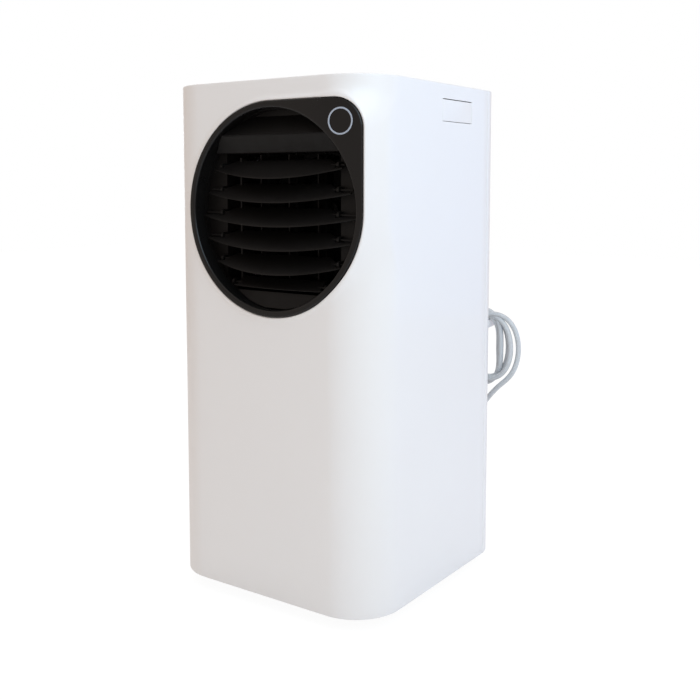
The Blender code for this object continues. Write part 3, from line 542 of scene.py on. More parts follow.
def outlet_distance(x, z):
    """Distance outside the outlet's outline: a circle whose upper right corner is squared off."""
    dx, dz = x - OUTLET_X, z - OUTLET_Z
    qx, qz = dx - (OUTLET_R - OUTLET_CORNER_R), dz - (OUTLET_R - OUTLET_CORNER_R)
    outside = np.hypot(np.maximum(qx, 0), np.maximum(qz, 0))
    square = outside + np.minimum(np.maximum(qx, qz), 0) - OUTLET_CORNER_R
    return np.where((dx > 0) & (dz > 0), square, np.hypot(dx, dz) - OUTLET_R)


def outlet_outline(grow, steps=150):
    """The outlet's outline, anticlockwise from the top, moved outwards by a distance."""
    radius, corner_r = OUTLET_R + grow, OUTLET_CORNER_R + grow
    corner = (OUTLET_X + radius - corner_r, OUTLET_Z + radius - corner_r)
    round_part = arc((OUTLET_X, OUTLET_Z), radius, 90, 360, steps)
    corner_part = arc(corner, corner_r, 0, 90, 20)
    shares = [i / 22 for i in range(1, 22)]
    right = [(OUTLET_X + radius, OUTLET_Z + (corner[1] - OUTLET_Z) * share) for share in shares]
    top = [(corner[0] + (OUTLET_X - corner[0]) * share, OUTLET_Z + radius) for share in shares]
    return round_part + right + corner_part + top


def smoothstep(t):
    return t * t * (3 - 2 * t)


def soft_max(a, b, width):
    share = np.clip(0.5 + 0.5 * (a - b) / width, 0, 1)
    return b + (a - b) * share + width * share * (1 - share)


def boss_lift(u, z):
    """How far the front shell swells outwards at a place, to meet the outlet's rim with a soft fillet."""
    place, out = front_plan(u)
    reach = np.linspace(-0.002, 0.030, 161)
    best = np.zeros(len(u))
    found = np.zeros(len(u), bool)
    previous = None
    for t in reach[::-1]:
        x = place[:, 0] + out[:, 0] * t
        y = place[:, 1] + out[:, 1] * t
        depth = y - (FRONT_Y - BOSS_PROUD + outlet_sweep(x))
        grown = 0.0030 + 0.34 * np.maximum(depth, 0)
        boss = soft_max((outlet_distance(x, z) - grown) * 0.95, -depth, 0.002)
        width = 0.005 + 0.012 * smoothstep(np.clip((x - 0.085) / 0.06, 0, 1))
        union = -soft_max(-boss, np.full(len(u), -t), width)
        if previous is not None:
            hit = (union <= 0) & ~found
            share = previous / np.maximum(previous - union, 1e-9)
            best = np.where(hit, t + (reach[1] - reach[0]) * (1 - share), best)
            found |= hit
        previous = union
    best = np.maximum(best, 0)
    sideways = np.abs(out[:, 0])
    room = (HALF_W - np.abs(place[:, 0])) / np.maximum(sideways, 1e-6)
    room = np.maximum(np.where(sideways > 1e-6, room, 1), 1e-6)
    return best / (1 + (best / room) ** 4) ** 0.25


def polygon_distance(points, outline):
    """Distance of each point from a closed outline, negative inside it."""
    a = np.array(outline)
    b = np.roll(a, -1, axis=0)
    along = b - a
    length2 = (along**2).sum(1)
    nearest = np.full(len(points), np.inf)
    inside = np.zeros(len(points), bool)
    for start, step, size, end in zip(a, along, length2, b):
        rel = points - start
        share = np.clip((rel @ step) / size, 0, 1)
        nearest = np.minimum(nearest, np.hypot(*(rel - share[:, None] * step).T))
        crosses = (start[1] > points[:, 1]) != (end[1] > points[:, 1])
        rise = end[1] - start[1] if end[1] != start[1] else 1e-12
        at = start[0] + (points[:, 1] - start[1]) / rise * step[0]
        inside ^= crosses & (points[:, 0] < at)
    return np.where(inside, -nearest, nearest)


def ring(outline, distance):
    """The outline, which runs anticlockwise, moved outwards by a distance."""
    a = np.array(outline)
    tangent = np.roll(a, -1, axis=0) - np.roll(a, 1, axis=0)
    tangent /= np.linalg.norm(tangent, axis=1)[:, None]
    return a + distance * np.stack([tangent[:, 1], -tangent[:, 0]], 1)


def lines(*stretches):
    """Places from (start, end, count) stretches, each without its end except the last."""
    made = []
    for start, end, count in stretches:
        made += [start + (end - start) * i / count for i in range(count)]
    return np.array(made + [stretches[-1][1]])


def rounded_drop(distance, radius):
    """How far a quarter-round edge falls below its face at a distance from the edge."""
    left = np.clip(radius - distance, 0, radius)
    return radius - np.sqrt(np.maximum(radius**2 - left**2, 0))


def skin(node, plan, u_lines, z_lines, holes, lift=None):
    """A casing wall as one surface over its unrolled plan, with holes whose rims are rounded, then thickened.

    A hole is its outline, the distances of the rows round it, and its rim's radius.
    """
    grid = np.stack(np.meshgrid(u_lines, z_lines), -1).reshape(-1, 2)
    keep = np.ones(len(grid), bool)
    points, edges = [], []
    for outline, steps, _ in holes:
        keep &= polygon_distance(grid, outline) > steps[-1] + 0.0018
        for distance in steps:
            loop = ring(outline, distance)
            first = len(points)
            points += [Vector(p) for p in loop]
            edges += [(first + i, first + (i + 1) % len(loop)) for i in range(len(loop))]
    points += [Vector(p) for p in grid[keep]]
    flat, _, faces, *_ = delaunay_2d_cdt(points, edges, [], 0, 1e-7)
    flat = np.array([tuple(p) for p in flat])
    faces = [tuple(face) for face in faces]
    middles = np.array([flat[list(face)].mean(0) for face in faces])
    outside = np.ones(len(faces), bool)
    offset = lift(flat[:, 0], flat[:, 1]) if lift else np.zeros(len(flat))
    for outline, _, radius in holes:
        outside &= polygon_distance(middles, outline) > -1e-6
        offset -= rounded_drop(np.maximum(polygon_distance(flat, outline), 0), radius)
    offset -= rounded_drop(z_lines[-1] - flat[:, 1], TOP_EDGE)
    offset -= rounded_drop(flat[:, 1] - z_lines[0], 0.0010)
    offset -= rounded_drop(flat[:, 0] - u_lines[0], 0.0006)
    offset -= rounded_drop(u_lines[-1] - flat[:, 0], 0.0006)
    place, out = plan(flat[:, 0])
    places = zip(place, out, offset, flat[:, 1])
    points = [(p[0] + n[0] * t, p[1] + n[1] * t, z) for p, n, t, z in places]
    kept = [face for face, keep_it in zip(faces, outside) if keep_it]
    mesh = bpy.data.meshes.new(node)
    mesh.from_pydata(points, [], kept)
    shape = bmesh.new()
    shape.from_mesh(mesh)
    loose = [v for v in shape.verts if not v.link_faces]
    bmesh.ops.delete(shape, geom=loose, context="VERTS")
    bmesh.ops.recalc_face_normals(shape, faces=shape.faces)
    face = min(shape.faces, key=lambda f: (round(f.calc_center_median().z, 3), abs(f.calc_center_median().x)))
    centre = face.calc_center_median()
    if face.normal.dot(Vector((centre.x, centre.y, 0))) < 0:
        bmesh.ops.reverse_faces(shape, faces=shape.faces)
    shape.to_mesh(mesh)
    shape.free()
    obj = adopt(node + "_skin", mesh, FINISHES["white_casing"], "casing", [node])
    thick = obj.modifiers.new("wall", "SOLIDIFY")
    thick.thickness = WALL
    thick.offset = -1
    apply_modifiers(obj)


def front_u(y):
    """Place along the front shell's plan of a point on its side."""
    return FLAT_HALF + CORNER_LENGTH + y - (FRONT_Y + FRONT_R)


RIM_STEPS = (0.0, 0.00015, 0.0004, 0.0008, 0.0013, 0.0020, 0.0030, 0.0044, 0.0062, 0.0085, 0.0115)
WINDOW_STEPS = (0.0, 0.0002, 0.0005, 0.0012, 0.003)
FLAP_Y = [v.y - MID_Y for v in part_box("handle_flap_right")]
FLAP_Z = [v.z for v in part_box("handle_flap_right")]
FLAP_SIDE_GAP = 0.00018
FLAP_LOW_GAP = 0.0006
FLAP_HIGH_GAP = 0.0010


def outlet_in_plan():
    """The outlet's outline on the unrolled front shell."""
    points = []
    for x, z in outlet_outline(0.0004):
        y = FRONT_Y - BOSS_PROUD + outlet_sweep(x)
        if x <= FLAT_HALF:
            points.append((x, z))
        else:
            angle = np.arctan2(x - FLAT_HALF, FRONT_Y + FRONT_R - y)
            points.append((FLAT_HALF + FRONT_R * angle, z))
    return points


def front_shell():
    body = lines(
        (SKIRT_Z, SKIRT_Z + 0.001, 3),
        (SKIRT_Z + 0.001, 0.37, 16),
        (0.37, 0.694, 80),
        (0.694, TOP_Z - 0.0022, 4),
    )
    z_lines = np.concatenate([body, TOP_ROWS])
    corner_end = FLAT_HALF + CORNER_LENGTH
    end = front_u(SPLIT_Y)
    side, edge = (corner_end, end - 0.0006, 18), (end - 0.0006, end, 2)
    left, right = (
        lines((0.0, FLAT_HALF, 24), (FLAT_HALF, corner_end, count), side, edge) for count in (28, 34)
    )
    u_lines = np.concatenate([-left[:0:-1], right])
    holes = [(outlet_in_plan(), RIM_STEPS, 0.0013)]
    for side in (-1, 1):
        u = sorted(side * front_u(y) for y in (FLAP_Y[0] - FLAP_SIDE_GAP, FLAP_Y[1] + FLAP_SIDE_GAP))
        low, high = (u[0], FLAP_Z[0] - FLAP_LOW_GAP), (u[1], FLAP_Z[1] + FLAP_HIGH_GAP)
        outline = dense(rounded_rectangle(low, high, 0.0012, 3), 0.004)
        holes.append((outline, WINDOW_STEPS, 0.0004))
    skin("front_shell", front_plan, u_lines, z_lines, holes, boss_lift)


def dense(outline, spacing):
    """The outline with points added so that none is further from the next than the spacing."""
    made = []
    for (x0, z0), (x1, z1) in zip(outline, outline[1:] + outline[:1]):
        count = max(1, round(sqrt((x1 - x0) ** 2 + (z1 - z0) ** 2) / spacing))
        made += [(x0 + (x1 - x0) * i / count, z0 + (z1 - z0) * i / count) for i in range(count)]
    return made


# ---------------------------------------------------------------- outlet


BEZEL_EDGE = 0.0020
BEZEL_LIP = 0.0036


def outlet_bezel():
    """The bezel: rounded outer edge, face swept back on the right, and a rolled inner lip."""
    inner = OUTLET_INNER_R
    loops = []
    for x, z in outlet_outline(-0.00005, 180):
        dx, dz = x - OUTLET_X, z - OUTLET_Z
        radius = sqrt(dx * dx + dz * dz)
        width = radius - BEZEL_EDGE - inner - BEZEL_LIP
        face = [(radius - inset, drop) for inset, drop in edge_steps(BEZEL_EDGE, 5)]
        face += [(radius - BEZEL_EDGE - width * i / 9, 0) for i in range(1, 9)]
        face += [(inner + drop, inset) for inset, drop in edge_steps(BEZEL_LIP, 6)]
        loop = []
        for r, y in ((radius - 0.0005, BEZEL_BACK_Y), (radius, BEZEL_BACK_Y + 0.001)):
            loop.append((OUTLET_X + dx / radius * r, y, OUTLET_Z + dz / radius * r))
        for r, y in face:
            px = OUTLET_X + dx / radius * r
            loop.append((px, BEZEL_FRONT_Y + float(outlet_sweep(px)) + y, OUTLET_Z + dz / radius * r))
        for r, y in ((inner + 0.0003, BEZEL_BACK_Y + 0.001), (inner + 0.0012, BEZEL_BACK_Y)):
            loop.append((OUTLET_X + dx / radius * r, y, OUTLET_Z + dz / radius * r))
        loops.append(loop)
    cover("outlet_bezel", [loft(loops, wrap=True)], "gloss_black")


RING_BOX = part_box("ring_light")
RING_X = (RING_BOX[0].x + RING_BOX[1].x) / 2
RING_Z = (RING_BOX[0].z + RING_BOX[1].z) / 2
RING_R = (RING_BOX[1].z - RING_BOX[0].z) / 2
RING_HALF_W = 0.00105


def ring_light():
    """A thin light ring, slightly crowned, lying on the swept face."""
    middle = RING_R - RING_HALF_W
    tilt = asin((RING_X - SWEEP_START_X) / SWEEP_RADIUS)
    angles = [pi * i / 5 for i in range(6)]
    crown = [(middle + RING_HALF_W * cos(a), -0.00025 - 0.0005 * sin(a)) for a in angles]
    place = Vector((RING_X, BEZEL_FRONT_Y + float(outlet_sweep(RING_X)), RING_Z))
    lie = Matrix.Translation(place) @ Matrix.Rotation(tilt, 4, "Z")
    cover("ring_light", [moved(turn(crown, (0, 0, 0), "Y", 96), lie)], "ring_light")


BLADE_COUNT = 6
BLADE_TILT = radians(38)
BLADE_THICK = 0.0022
BLADE_TAB_BACK = -0.012
BLADE_TAB = 0.092
BLADE_EASE = 0.016
BLADE_EASE_DEPTH = 0.010
BLADE_END_BACK = 0.0052
BLADE_FRONT_END = 0.0080
BLADE_BOWS = (0.0196, 0.0196, 0.0196, 0.0196, 0.0196, 0.0012)
BLADE_HALF_LENGTHS = (0.105, 0.118, 0.126, 0.120, 0.102, 0.0735)
PIN_R = 0.0015
LINK_PIN_X = -0.070


def blade_pivot(number):
    x, y, z = PIVOTS[f"blade_{number}_tilt"]
    return Vector((x, y - MID_Y, z))


def louvre_blade(number):
    """A lens-shaped blade, thickest on its pivot line, with a rounded front edge and small end pins."""
    node = f"louvre_blade_{number}"
    low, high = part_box(node)
    pin_half = (high.x - low.x) / 2
    half = BLADE_HALF_LENGTHS[number - 1]
    tab = min(BLADE_TAB, half - 0.004)
    ease = BLADE_EASE if tab == BLADE_TAB else 0.0
    across = [half * i / 16 for i in range(17)] + [tab - ease, tab - 0.0006, tab + 0.0006]
    stations = sorted({round(side * x, 6) for side in (-1, 1) for x in across})
    loops = []
    for x in stations:
        front = BLADE_FRONT_END + BLADE_BOWS[number - 1] * (1 - (x / half) ** 2)
        back = BLADE_TAB_BACK if abs(x) < tab else BLADE_END_BACK
        if ease and tab - ease < abs(x) < tab:
            back += BLADE_EASE_DEPTH * (abs(x) - tab + ease) / ease
        mid = (front + back) / 2
        reach = (front - back) / 2
        loop = []
        for i in range(20):
            angle = tau * i / 20
            along = mid + reach * np.sign(cos(angle)) * abs(cos(angle)) ** 0.55
            taper = 1 - 0.42 * max(0.0, (along - 0.004) / 0.024)
            up = BLADE_THICK / 2 * taper * np.sign(sin(angle)) * abs(sin(angle)) ** 0.5
            loop.append((x, along, up))
        loops.append(loop)
    shapes = [loft(loops)]
    for start, end in ((-pin_half, -tab + 0.006), (tab - 0.006, pin_half)):
        shapes.append(turn(rod(PIN_R, start, end), (0, 0, 0), "X", 16))
    shapes.append(turn(rod(0.001, LINK_PIN_X - 0.004, LINK_PIN_X + 0.004), (0, -0.0125, 0), "X", 12))
    place = Matrix.Translation(blade_pivot(number)) @ Matrix.Rotation(pi + BLADE_TILT, 4, "X")
    cover(node, [moved(s, place) for s in shapes], "dark_plastic", node)


THROAT_STEP = 0.0045
THROAT_BACK_Y = -0.1500


def recess_wall():
    """The round throat behind the bezel: a smooth wall with a small step, open in the middle."""
    radius = OUTLET_INNER_R - 0.0002
    front = BEZEL_BACK_Y + 0.0004
    profile = [(radius, front), (radius + THROAT_STEP, front)]
    profile += [(radius + THROAT_STEP, THROAT_BACK_Y), (radius, THROAT_BACK_Y)]
    piece("outlet_throat", [turn(profile, (OUTLET_X, 0, OUTLET_Z), "Y", 96)], DARK)


# ---------------------------------------------------------------- grips


FLAP_THICK = 0.0026
FLAP_LIP_DEPTH = 0.0062


def grip_flap(word, side):
    """A grip flap flush with the casing's side, with a lip to pull on inside its lower edge."""
    node = f"handle_flap_{word}"
    low, high = flat_box(node)
    y0, y1 = low.y - 0.00005, high.y + 0.00005
    outer, face, lip = (side * (HALF_W - depth) for depth in (0, FLAP_THICK, FLAP_LIP_DEPTH))
    plate_low, plate_high = (min(outer, face), y0, low.z), (max(outer, face), y1, high.z)
    lip_low = (min(face, lip), y0 + 0.006, low.z + 0.0005)
    lip_high = (max(face, lip), y1 - 0.006, low.z + 0.0035)
    shapes = [block(a, b, 0.001, 0.0005, "X") for a, b in ((plate_low, plate_high), (lip_low, lip_high))]
    cover(node, shapes, "white_casing", node)


# ---------------------------------------------------------------- mains cord


CORD_R = 0.0039
COIL_LOW, COIL_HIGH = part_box("cord_coil")
COIL = Vector([(low + high) / 2 for low, high in zip(COIL_LOW, COIL_HIGH)])
COIL_RADIAL = 0.0225
COIL_HALF_W = (COIL_HIGH.x - COIL_LOW.x - COIL_RADIAL) / 2
COIL_HALF_H = (COIL_HIGH.z - COIL_LOW.z - COIL_RADIAL) / 2
LEAD_ROUTE = [
    (0.0480, 0.2039, 0.2220),
    (0.0480, 0.2160, 0.2210),
    (0.0490, 0.2300, 0.2140),
    (0.0540, 0.2410, 0.1990),
    (0.0660, 0.2450, 0.1850),
    (0.0830, 0.2420, 0.1810),
    (0.1000, 0.2350, 0.1885),
    (0.1150, 0.2260, 0.2050),
    (0.1275, 0.2175, 0.2245),
]
TAIL_ROUTE = [
    (0.0930, 0.2035, 0.2715),
    (0.0927, 0.2030, 0.2475),
    (0.0926, 0.2028, 0.2225),
    (0.0925, 0.2027, 0.1975),
]


def smooth_route(points, spacing):
    """Points every so often along a Catmull-Rom curve through the given points."""
    knots = [Vector(p) for p in points]
    knots = [knots[0] * 2 - knots[1]] + knots + [knots[-1] * 2 - knots[-2]]
    fine = []
    for a, b, c, d in zip(knots, knots[1:], knots[2:], knots[3:]):
        for i in range(24):
            t = i / 24
            bend = (2 * a - 5 * b + 4 * c - d) * t**2
            twist = (3 * b - a - 3 * c + d) * t**3
            fine.append(0.5 * (2 * b + (c - a) * t + bend + twist))
    fine.append(knots[-2])
    kept = [fine[0]]
    travelled = 0.0
    for previous, here in zip(fine, fine[1:]):
        travelled += (here - previous).length
        if travelled >= spacing:
            kept.append(here)
            travelled = 0.0
    kept[-1] = fine[-1]
    return kept


COIL_TURNS = 4.686
COIL_START = radians(-62)
SETTLE_SHARE = 0.50
BUNDLE = (
    (0.0068, -0.0039),
    (-0.0066, -0.0039),
    (-0.0066, 0.0041),
    (0.0, 0.0078),
    (0.0068, 0.0030),
    (0.0, 0.0),
)
FAN = ((0.0130, 0.0030), (0.0040, -0.0050), (-0.0050, 0.0050), (-0.0140, -0.0040), (-0.0225, 0.0040))


def oval(angle):
    """A place on the coil's middle line, two half circles joined by straight sides, and the way out there."""
    straight = COIL_HALF_H - COIL_HALF_W
    lift = straight * max(-1.0, min(1.0, 1.6 * sin(angle)))
    x = COIL.x + COIL_HALF_W * cos(angle)
    z = COIL.z + lift + COIL_HALF_W * sin(angle)
    return Vector((x, COIL.y - MID_Y, z)), Vector((cos(angle), 0, sin(angle)))


def coil_point(turn_number, angle):
    """A place on the coil. Its turns lie in one bundle on the hook, and fan out on the right."""
    whole = int(turn_number)
    blend = smoothstep(min(1.0, (turn_number - whole) / SETTLE_SHARE))
    first, after = Vector(BUNDLE[whole]), Vector(BUNDLE[whole + 1])
    spread_share = ((1 + cos(angle)) / 2) ** 3
    fan = Vector(FAN[whole])
    out_by, deep_by = (first + (after - first) * blend).lerp(fan, spread_share)
    middle, out = oval(angle)
    return middle + out * out_by + Vector((0, deep_by, 0))


def eased(route, rounds=18):
    """The route with its kinks relaxed, its first and last stretch kept."""
    for _ in range(rounds):
        middles = [(a + c) / 2 for a, c in zip(route[1:-3], route[3:-1])]
        route = route[:2] + [b.lerp(m, 0.5) for b, m in zip(route[2:-2], middles)] + route[-2:]
    return route


def mains_cord():
    count = round(COIL_TURNS * 24)
    steps = [COIL_TURNS * i / count for i in range(count + 1)]
    coil = [tuple(coil_point(turned_by, COIL_START + tau * turned_by)) for turned_by in steps]
    route = eased(smooth_route(LEAD_ROUTE + coil + TAIL_ROUTE, 0.004))
    curve = bpy.data.curves.new("mains_cord", "CURVE")
    curve.dimensions = "3D"
    curve.bevel_depth = CORD_R
    curve.bevel_resolution = 5
    curve.use_fill_caps = True
    spline = curve.splines.new("POLY")
    spline.points.add(len(route) - 1)
    for target, place in zip(spline.points, route):
        target.co = (place[0], place[1] + MID_Y, place[2], 1)
    curve.materials.append(SHEATH)
    cord = bpy.data.objects.new("mains_cord", curve)
    bpy.context.scene.collection.objects.link(cord)
    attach(cord, "casing")
    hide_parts("cord_lead", "cord_coil", "cord_tail")
    plug = mains_plug()


def mains_plug():
    """A moulded two-pin plug: ribbed neck, waisted body with a grip edge, and round pins."""
    x, y, z = TAIL_ROUTE[-1]
    z -= 0.0003
    neck = [(0, 0), (0.0046, 0), (0.0052, -0.001)]
    for i in range(5):
        top = -0.002 - i * 0.0034
        r = 0.0053 + i * 0.0006
        neck += [(r, top), (r + 0.0008, top - 0.0006), (r + 0.0008, top - 0.0018), (r, top - 0.0024)]
    body = [(0.0090, -0.0200), (0.0118, -0.0235), (0.0122, -0.0290), (0.0150, -0.0315), (0.0163, -0.0345)]
    body += [(0.0165, -0.0500), (0.0158, -0.0515), (0.0142, -0.0522), (0, -0.0522)]
    shapes = [turn(neck + body, (x, y, z), "Z", 40)]
    plug = cover("plug", shapes, "grey_plastic")
    pins = []
    for side in (-1, 1):
        pin = [(0, -0.0522), (0.0024, -0.0522), (0.0024, -0.0690), (0.0017, -0.0706), (0, -0.0709)]
        pins.append(turn(pin, (x + side * 0.0095, y, z), "Z", 24))
    pin_piece = piece("plug_pins", pins, STEEL)
    pin_piece.parent = plug
    pin_piece.location = (0, 0, 0)
    return plug


# ---------------------------------------------------------------- back


WINDOW_CORNER = 0.006
COLLAR_LOW, COLLAR_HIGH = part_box("exhaust_collar")
COLLAR_X = (COLLAR_LOW.x + COLLAR_HIGH.x) / 2
COLLAR_Z = (COLLAR_LOW.z + COLLAR_HIGH.z) / 2
FLANGE_R = (COLLAR_HIGH.x - COLLAR_LOW.x) / 2
PIPE_R = FLANGE_R - 0.0095


def rear_shell():
    end = REAR_FLAT + REAR_CORNER - 0.0003
    half = lines((0.0, REAR_FLAT, 26), (REAR_FLAT, end - 0.0006, 22), (end - 0.0006, end, 2))
    u_lines = np.concatenate([-half[:0:-1], half])
    body = lines((SKIRT_Z, SKIRT_Z + 0.001, 3), (SKIRT_Z + 0.001, TOP_Z - 0.0022, 90))
    z_lines = np.concatenate([body, TOP_ROWS])
    holes = []
    for node in ("filter_door", "lower_grille"):
        low, high = flat_box(node)
        first, last = (low.x - 0.0005, low.z - 0.0006), (high.x + 0.0005, high.z + 0.0006)
        outline = dense(rounded_rectangle(first, last, WINDOW_CORNER), 0.006)
        holes.append((outline, WINDOW_STEPS, 0.0005))
    pipe_hole = arc((COLLAR_X, COLLAR_Z), PIPE_R + 0.0004, 0, 360, 96)[:-1]
    holes.append((pipe_hole, WINDOW_STEPS[:3], 0.0003))
    for node in ("drain_plug_middle", "drain_plug_lower"):
        holes.append((arc(face_middle(node), 0.0072, 0, 360, 32)[:-1], WINDOW_STEPS[:3], 0.0003))
    skin("rear_shell", rear_plan, u_lines, z_lines, holes)


FRAME_OUTER_R = 0.0056
FRAME_INNER_R = 0.0030


def framed(low, high, width):
    """A closed frame facing the back between two corners, with rounded edges on its outer face."""
    front, back = low.y, high.y
    section = [
        (0, front, FRAME_OUTER_R),
        (0, back - 0.0008, FRAME_OUTER_R),
        (0.0003, back - 0.0003, FRAME_OUTER_R - 0.0002),
        (0.0008, back, FRAME_OUTER_R - 0.0005),
        (width - 0.0010, back, FRAME_INNER_R + 0.0008),
        (width - 0.0003, back - 0.0004, FRAME_INNER_R + 0.0003),
        (width, back - 0.0011, FRAME_INNER_R),
        (width, front, FRAME_INNER_R),
    ]
    loops = []
    for inset, along, radius in section:
        first, last = (low.x + inset, low.z + inset), (high.x - inset, high.z - inset)
        loops.append([(x, along, z) for x, z in rounded_rectangle(first, last, radius)])
    return loft(loops, wrap=True)


SLAT_COUNT = 16
SLAT_PITCH = 0.01218
SLAT_HEIGHT = 0.0057
SLAT_LEAN = radians(-24)


def filter_door():
    """The upper grille: a frame, a middle bar, leaning slats and a ridged pull, with the dust net behind."""
    low, high = flat_box("filter_door")
    front, back = low.y, high.y
    shapes = [framed(low, high, 0.0116)]
    bar_low, bar_high = (-0.004, front, low.z + 0.008), (0.004, back - 0.0002, high.z - 0.008)
    shapes.append(block(bar_low, bar_high, 0.001, 0.0005, "Z"))
    half = SLAT_HEIGHT / 2
    for i in range(SLAT_COUNT):
        z = low.z + 0.0190 + i * SLAT_PITCH + half
        middle = Matrix.Translation((0, (front + back) / 2 - 0.0002, z)) @ Matrix.Rotation(SLAT_LEAN, 4, "X")
        for x0, x1 in ((low.x + 0.0105, -0.003), (0.003, high.x - 0.0105)):
            slat = block((x0, -0.0008, -half), (x1, 0.0008, half), 0.0007, 0.0002, "X", 3)
            shapes.append(moved(slat, middle))
    for i in range(4):
        z = high.z - 0.0088 + i * 0.0017
        ridge = block((-0.019, back - 0.0006, z), (0.019, back + 0.0011, z + 0.0009), 0.0004, 0.0003, "X", 3)
        shapes.append(ridge)
    cover("filter_door", shapes, "white_casing", "filter_door")
    net_low = (low.x + 0.003, front - 0.0016, low.z + 0.005)
    net_high = (high.x - 0.003, front - 0.0007, high.z - 0.003)
    net = block(net_low, net_high, 0.002, 0.0002, "Y")
    piece("filter_net", [net], NET, "filter_door")


BAR_COUNT = 15
BAR_PITCH = 0.010625
BAR_WIDTH = 0.0041


def lower_grille():
    """The lower grille: a frame, upright bars and two cross ribs."""
    low, high = flat_box("lower_grille")
    front, back = low.y, high.y
    z0, z1 = low.z + 0.006, high.z - 0.006
    shapes = [framed(low, high, 0.0078)]
    for i in range(BAR_COUNT):
        x = low.x + 0.0181 + i * BAR_PITCH
        shapes.append(block((x, front, z0), (x + BAR_WIDTH, back - 0.0001, z1), 0.0009, 0.0003, "Z", 3))
    for x in (low.x + 0.0068, high.x - 0.0088):
        shapes.append(block((x, front, z0), (x + 0.0022, back - 0.0004, z1), 0.0006, 0.0003, "Z", 3))
    for share in (1 / 3, 2 / 3):
        z = low.z + (high.z - low.z) * share
        rib_low, rib_high = (low.x + 0.006, front, z - 0.0014), (high.x - 0.006, back - 0.0016, z + 0.0014)
        shapes.append(block(rib_low, rib_high, 0.0005, 0.0003, "X", 3))
    cover("lower_grille", shapes, "white_casing")


def exhaust_collar():
    """The hose collar: a flange with a raised rib, a rolled mouth and three bayonet lugs."""
    pipe, flange, inner = PIPE_R, FLANGE_R, PIPE_R - 0.0025
    profile = [(inner, -0.036), (pipe - 0.0004, -0.036), (pipe, -0.0355), (pipe, 0.0004), (flange, 0.0004)]
    profile += [(flange, 0.0026), (flange - 0.0003, 0.0032), (flange - 0.0009, 0.0034)]
    profile += [(pipe + 0.0052, 0.0034), (pipe + 0.0046, 0.0046), (pipe + 0.0034, 0.0048)]
    profile += [(pipe + 0.0028, 0.0036), (pipe + 0.0012, 0.0036), (pipe + 0.0003, 0.0046), (pipe, 0.0150)]
    profile += [(pipe + 0.0008, 0.0160), (pipe + 0.0010, 0.0172), (pipe + 0.0004, 0.0179)]
    profile += [(pipe - 0.0008, 0.0180), (inner + 0.0003, 0.0174), (inner, 0.0160)]
    shapes = [turn(profile, (COLLAR_X, BACK_Y, COLLAR_Z), "Y", 120)]
    lug_low, lug_high = (PIPE_R - 0.0012, 0.0080, -0.0075), (PIPE_R + 0.0022, 0.0112, 0.0075)
    lug = block(lug_low, lug_high, 0.0011, 0.0005, "Z", 3)
    for i in range(3):
        spin = Matrix.Rotation(tau * i / 3 + radians(20), 4, "Y")
        place = Matrix.Translation((COLLAR_X, BACK_Y, COLLAR_Z)) @ spin
        shapes.append(moved(lug, place))
    cover("exhaust_collar", shapes, "white_casing")


SCREW = [
    (0, -0.002),
    (0.0034, -0.002),
    (0.0034, 0.0004),
    (0.0030, 0.0011),
    (0.0020, 0.0015),
    (0.0011, 0.0015),
    (0.0009, 0.0006),
    (0, 0.0006),
]
SCREW_HEIGHTS = (0.685, 0.412, 0.040)


def screws():
    """Dome-headed screws that hold the collar and the back panel."""
    shapes = []
    small = [(radius * 0.52, along * 0.8) for radius, along in SCREW]
    r = (PIPE_R + 0.0052 + FLANGE_R) / 2
    for i in range(4):
        angle = tau * (i + 0.5) / 4
        place = (COLLAR_X + r * cos(angle), BACK_Y + 0.0034, COLLAR_Z + r * sin(angle))
        shapes.append(turn(small, place, "Y", 24))
    for z in SCREW_HEIGHTS:
        shapes += [turn(SCREW, (x, BACK_Y, z), "Y", 28) for x in (-0.126, 0.126)]
    piece("back_screws", shapes, STEEL)


def drain_plugs():
    """Drain plugs: a fluted head with a bar to grip, and a stem that fills the outlet."""
    for word in ("middle", "lower"):
        node = f"drain_plug_{word}"
        low, high = flat_box(node)
        x, z = face_middle(node)
        loops = []
        for along, grow in ((0, -0.0004), (0.0003, 0), (0.0024, 0), (0.0031, -0.0004), (0.0034, -0.0012)):
            loop = []
            for i in range(96):
                angle = tau * i / 96
                r = 0.0093 + grow + 0.00022 * cos(16 * angle)
                loop.append((x + r * cos(angle), BACK_Y + 0.0005 + along, z + r * sin(angle)))
            loops.append(loop)
        root, top = low.y + 0.0003, BACK_Y + 0.001
        profile = [(0, root), (0.0060, root), (0.0067, low.y + 0.001), (0.0067, top), (0, top)]
        stem = turn(profile, (x, 0, z), "Y", 32)
        bar_low = (x - 0.0062, BACK_Y + 0.003, z - 0.0011)
        bar_high = (x + 0.0062, high.y + 0.0016, z + 0.0011)
        bar = block(bar_low, bar_high, 0.0008, 0.0005, "Y", 3)
        cover(node, [loft(loops), stem, bar], "grey_plastic", node)


def cord_gland():
    """The ribbed, tapered strain relief that the cord leaves by."""
    x, z = face_middle("cord_gland")
    base, tip = BACK_Y + 0.0004, flat_box("cord_gland")[1].y
    profile = [(0, base), (0.0095, base), (0.0095, base + 0.0018)]
    profile += [(0.0090, base + 0.0025), (0.0074, base + 0.0030)]
    for i in range(7):
        start = base + 0.0040 + i * 0.0034
        r = 0.0073 - i * 0.0003
        profile += [(r, start), (r, start + 0.0020)]
        profile += [(r - 0.0011, start + 0.0023), (r - 0.0012, start + 0.0031)]
    profile += [(0.0050, tip - 0.001), (0.0046, tip), (0, tip)]
    cover("cord_gland", [turn(profile, (x, 0, z), "Y", 40)], "grey_plastic")


# ---------------------------------------------------------------- top


LID_INSET = 0.0033
PANEL_GAP = 0.0004


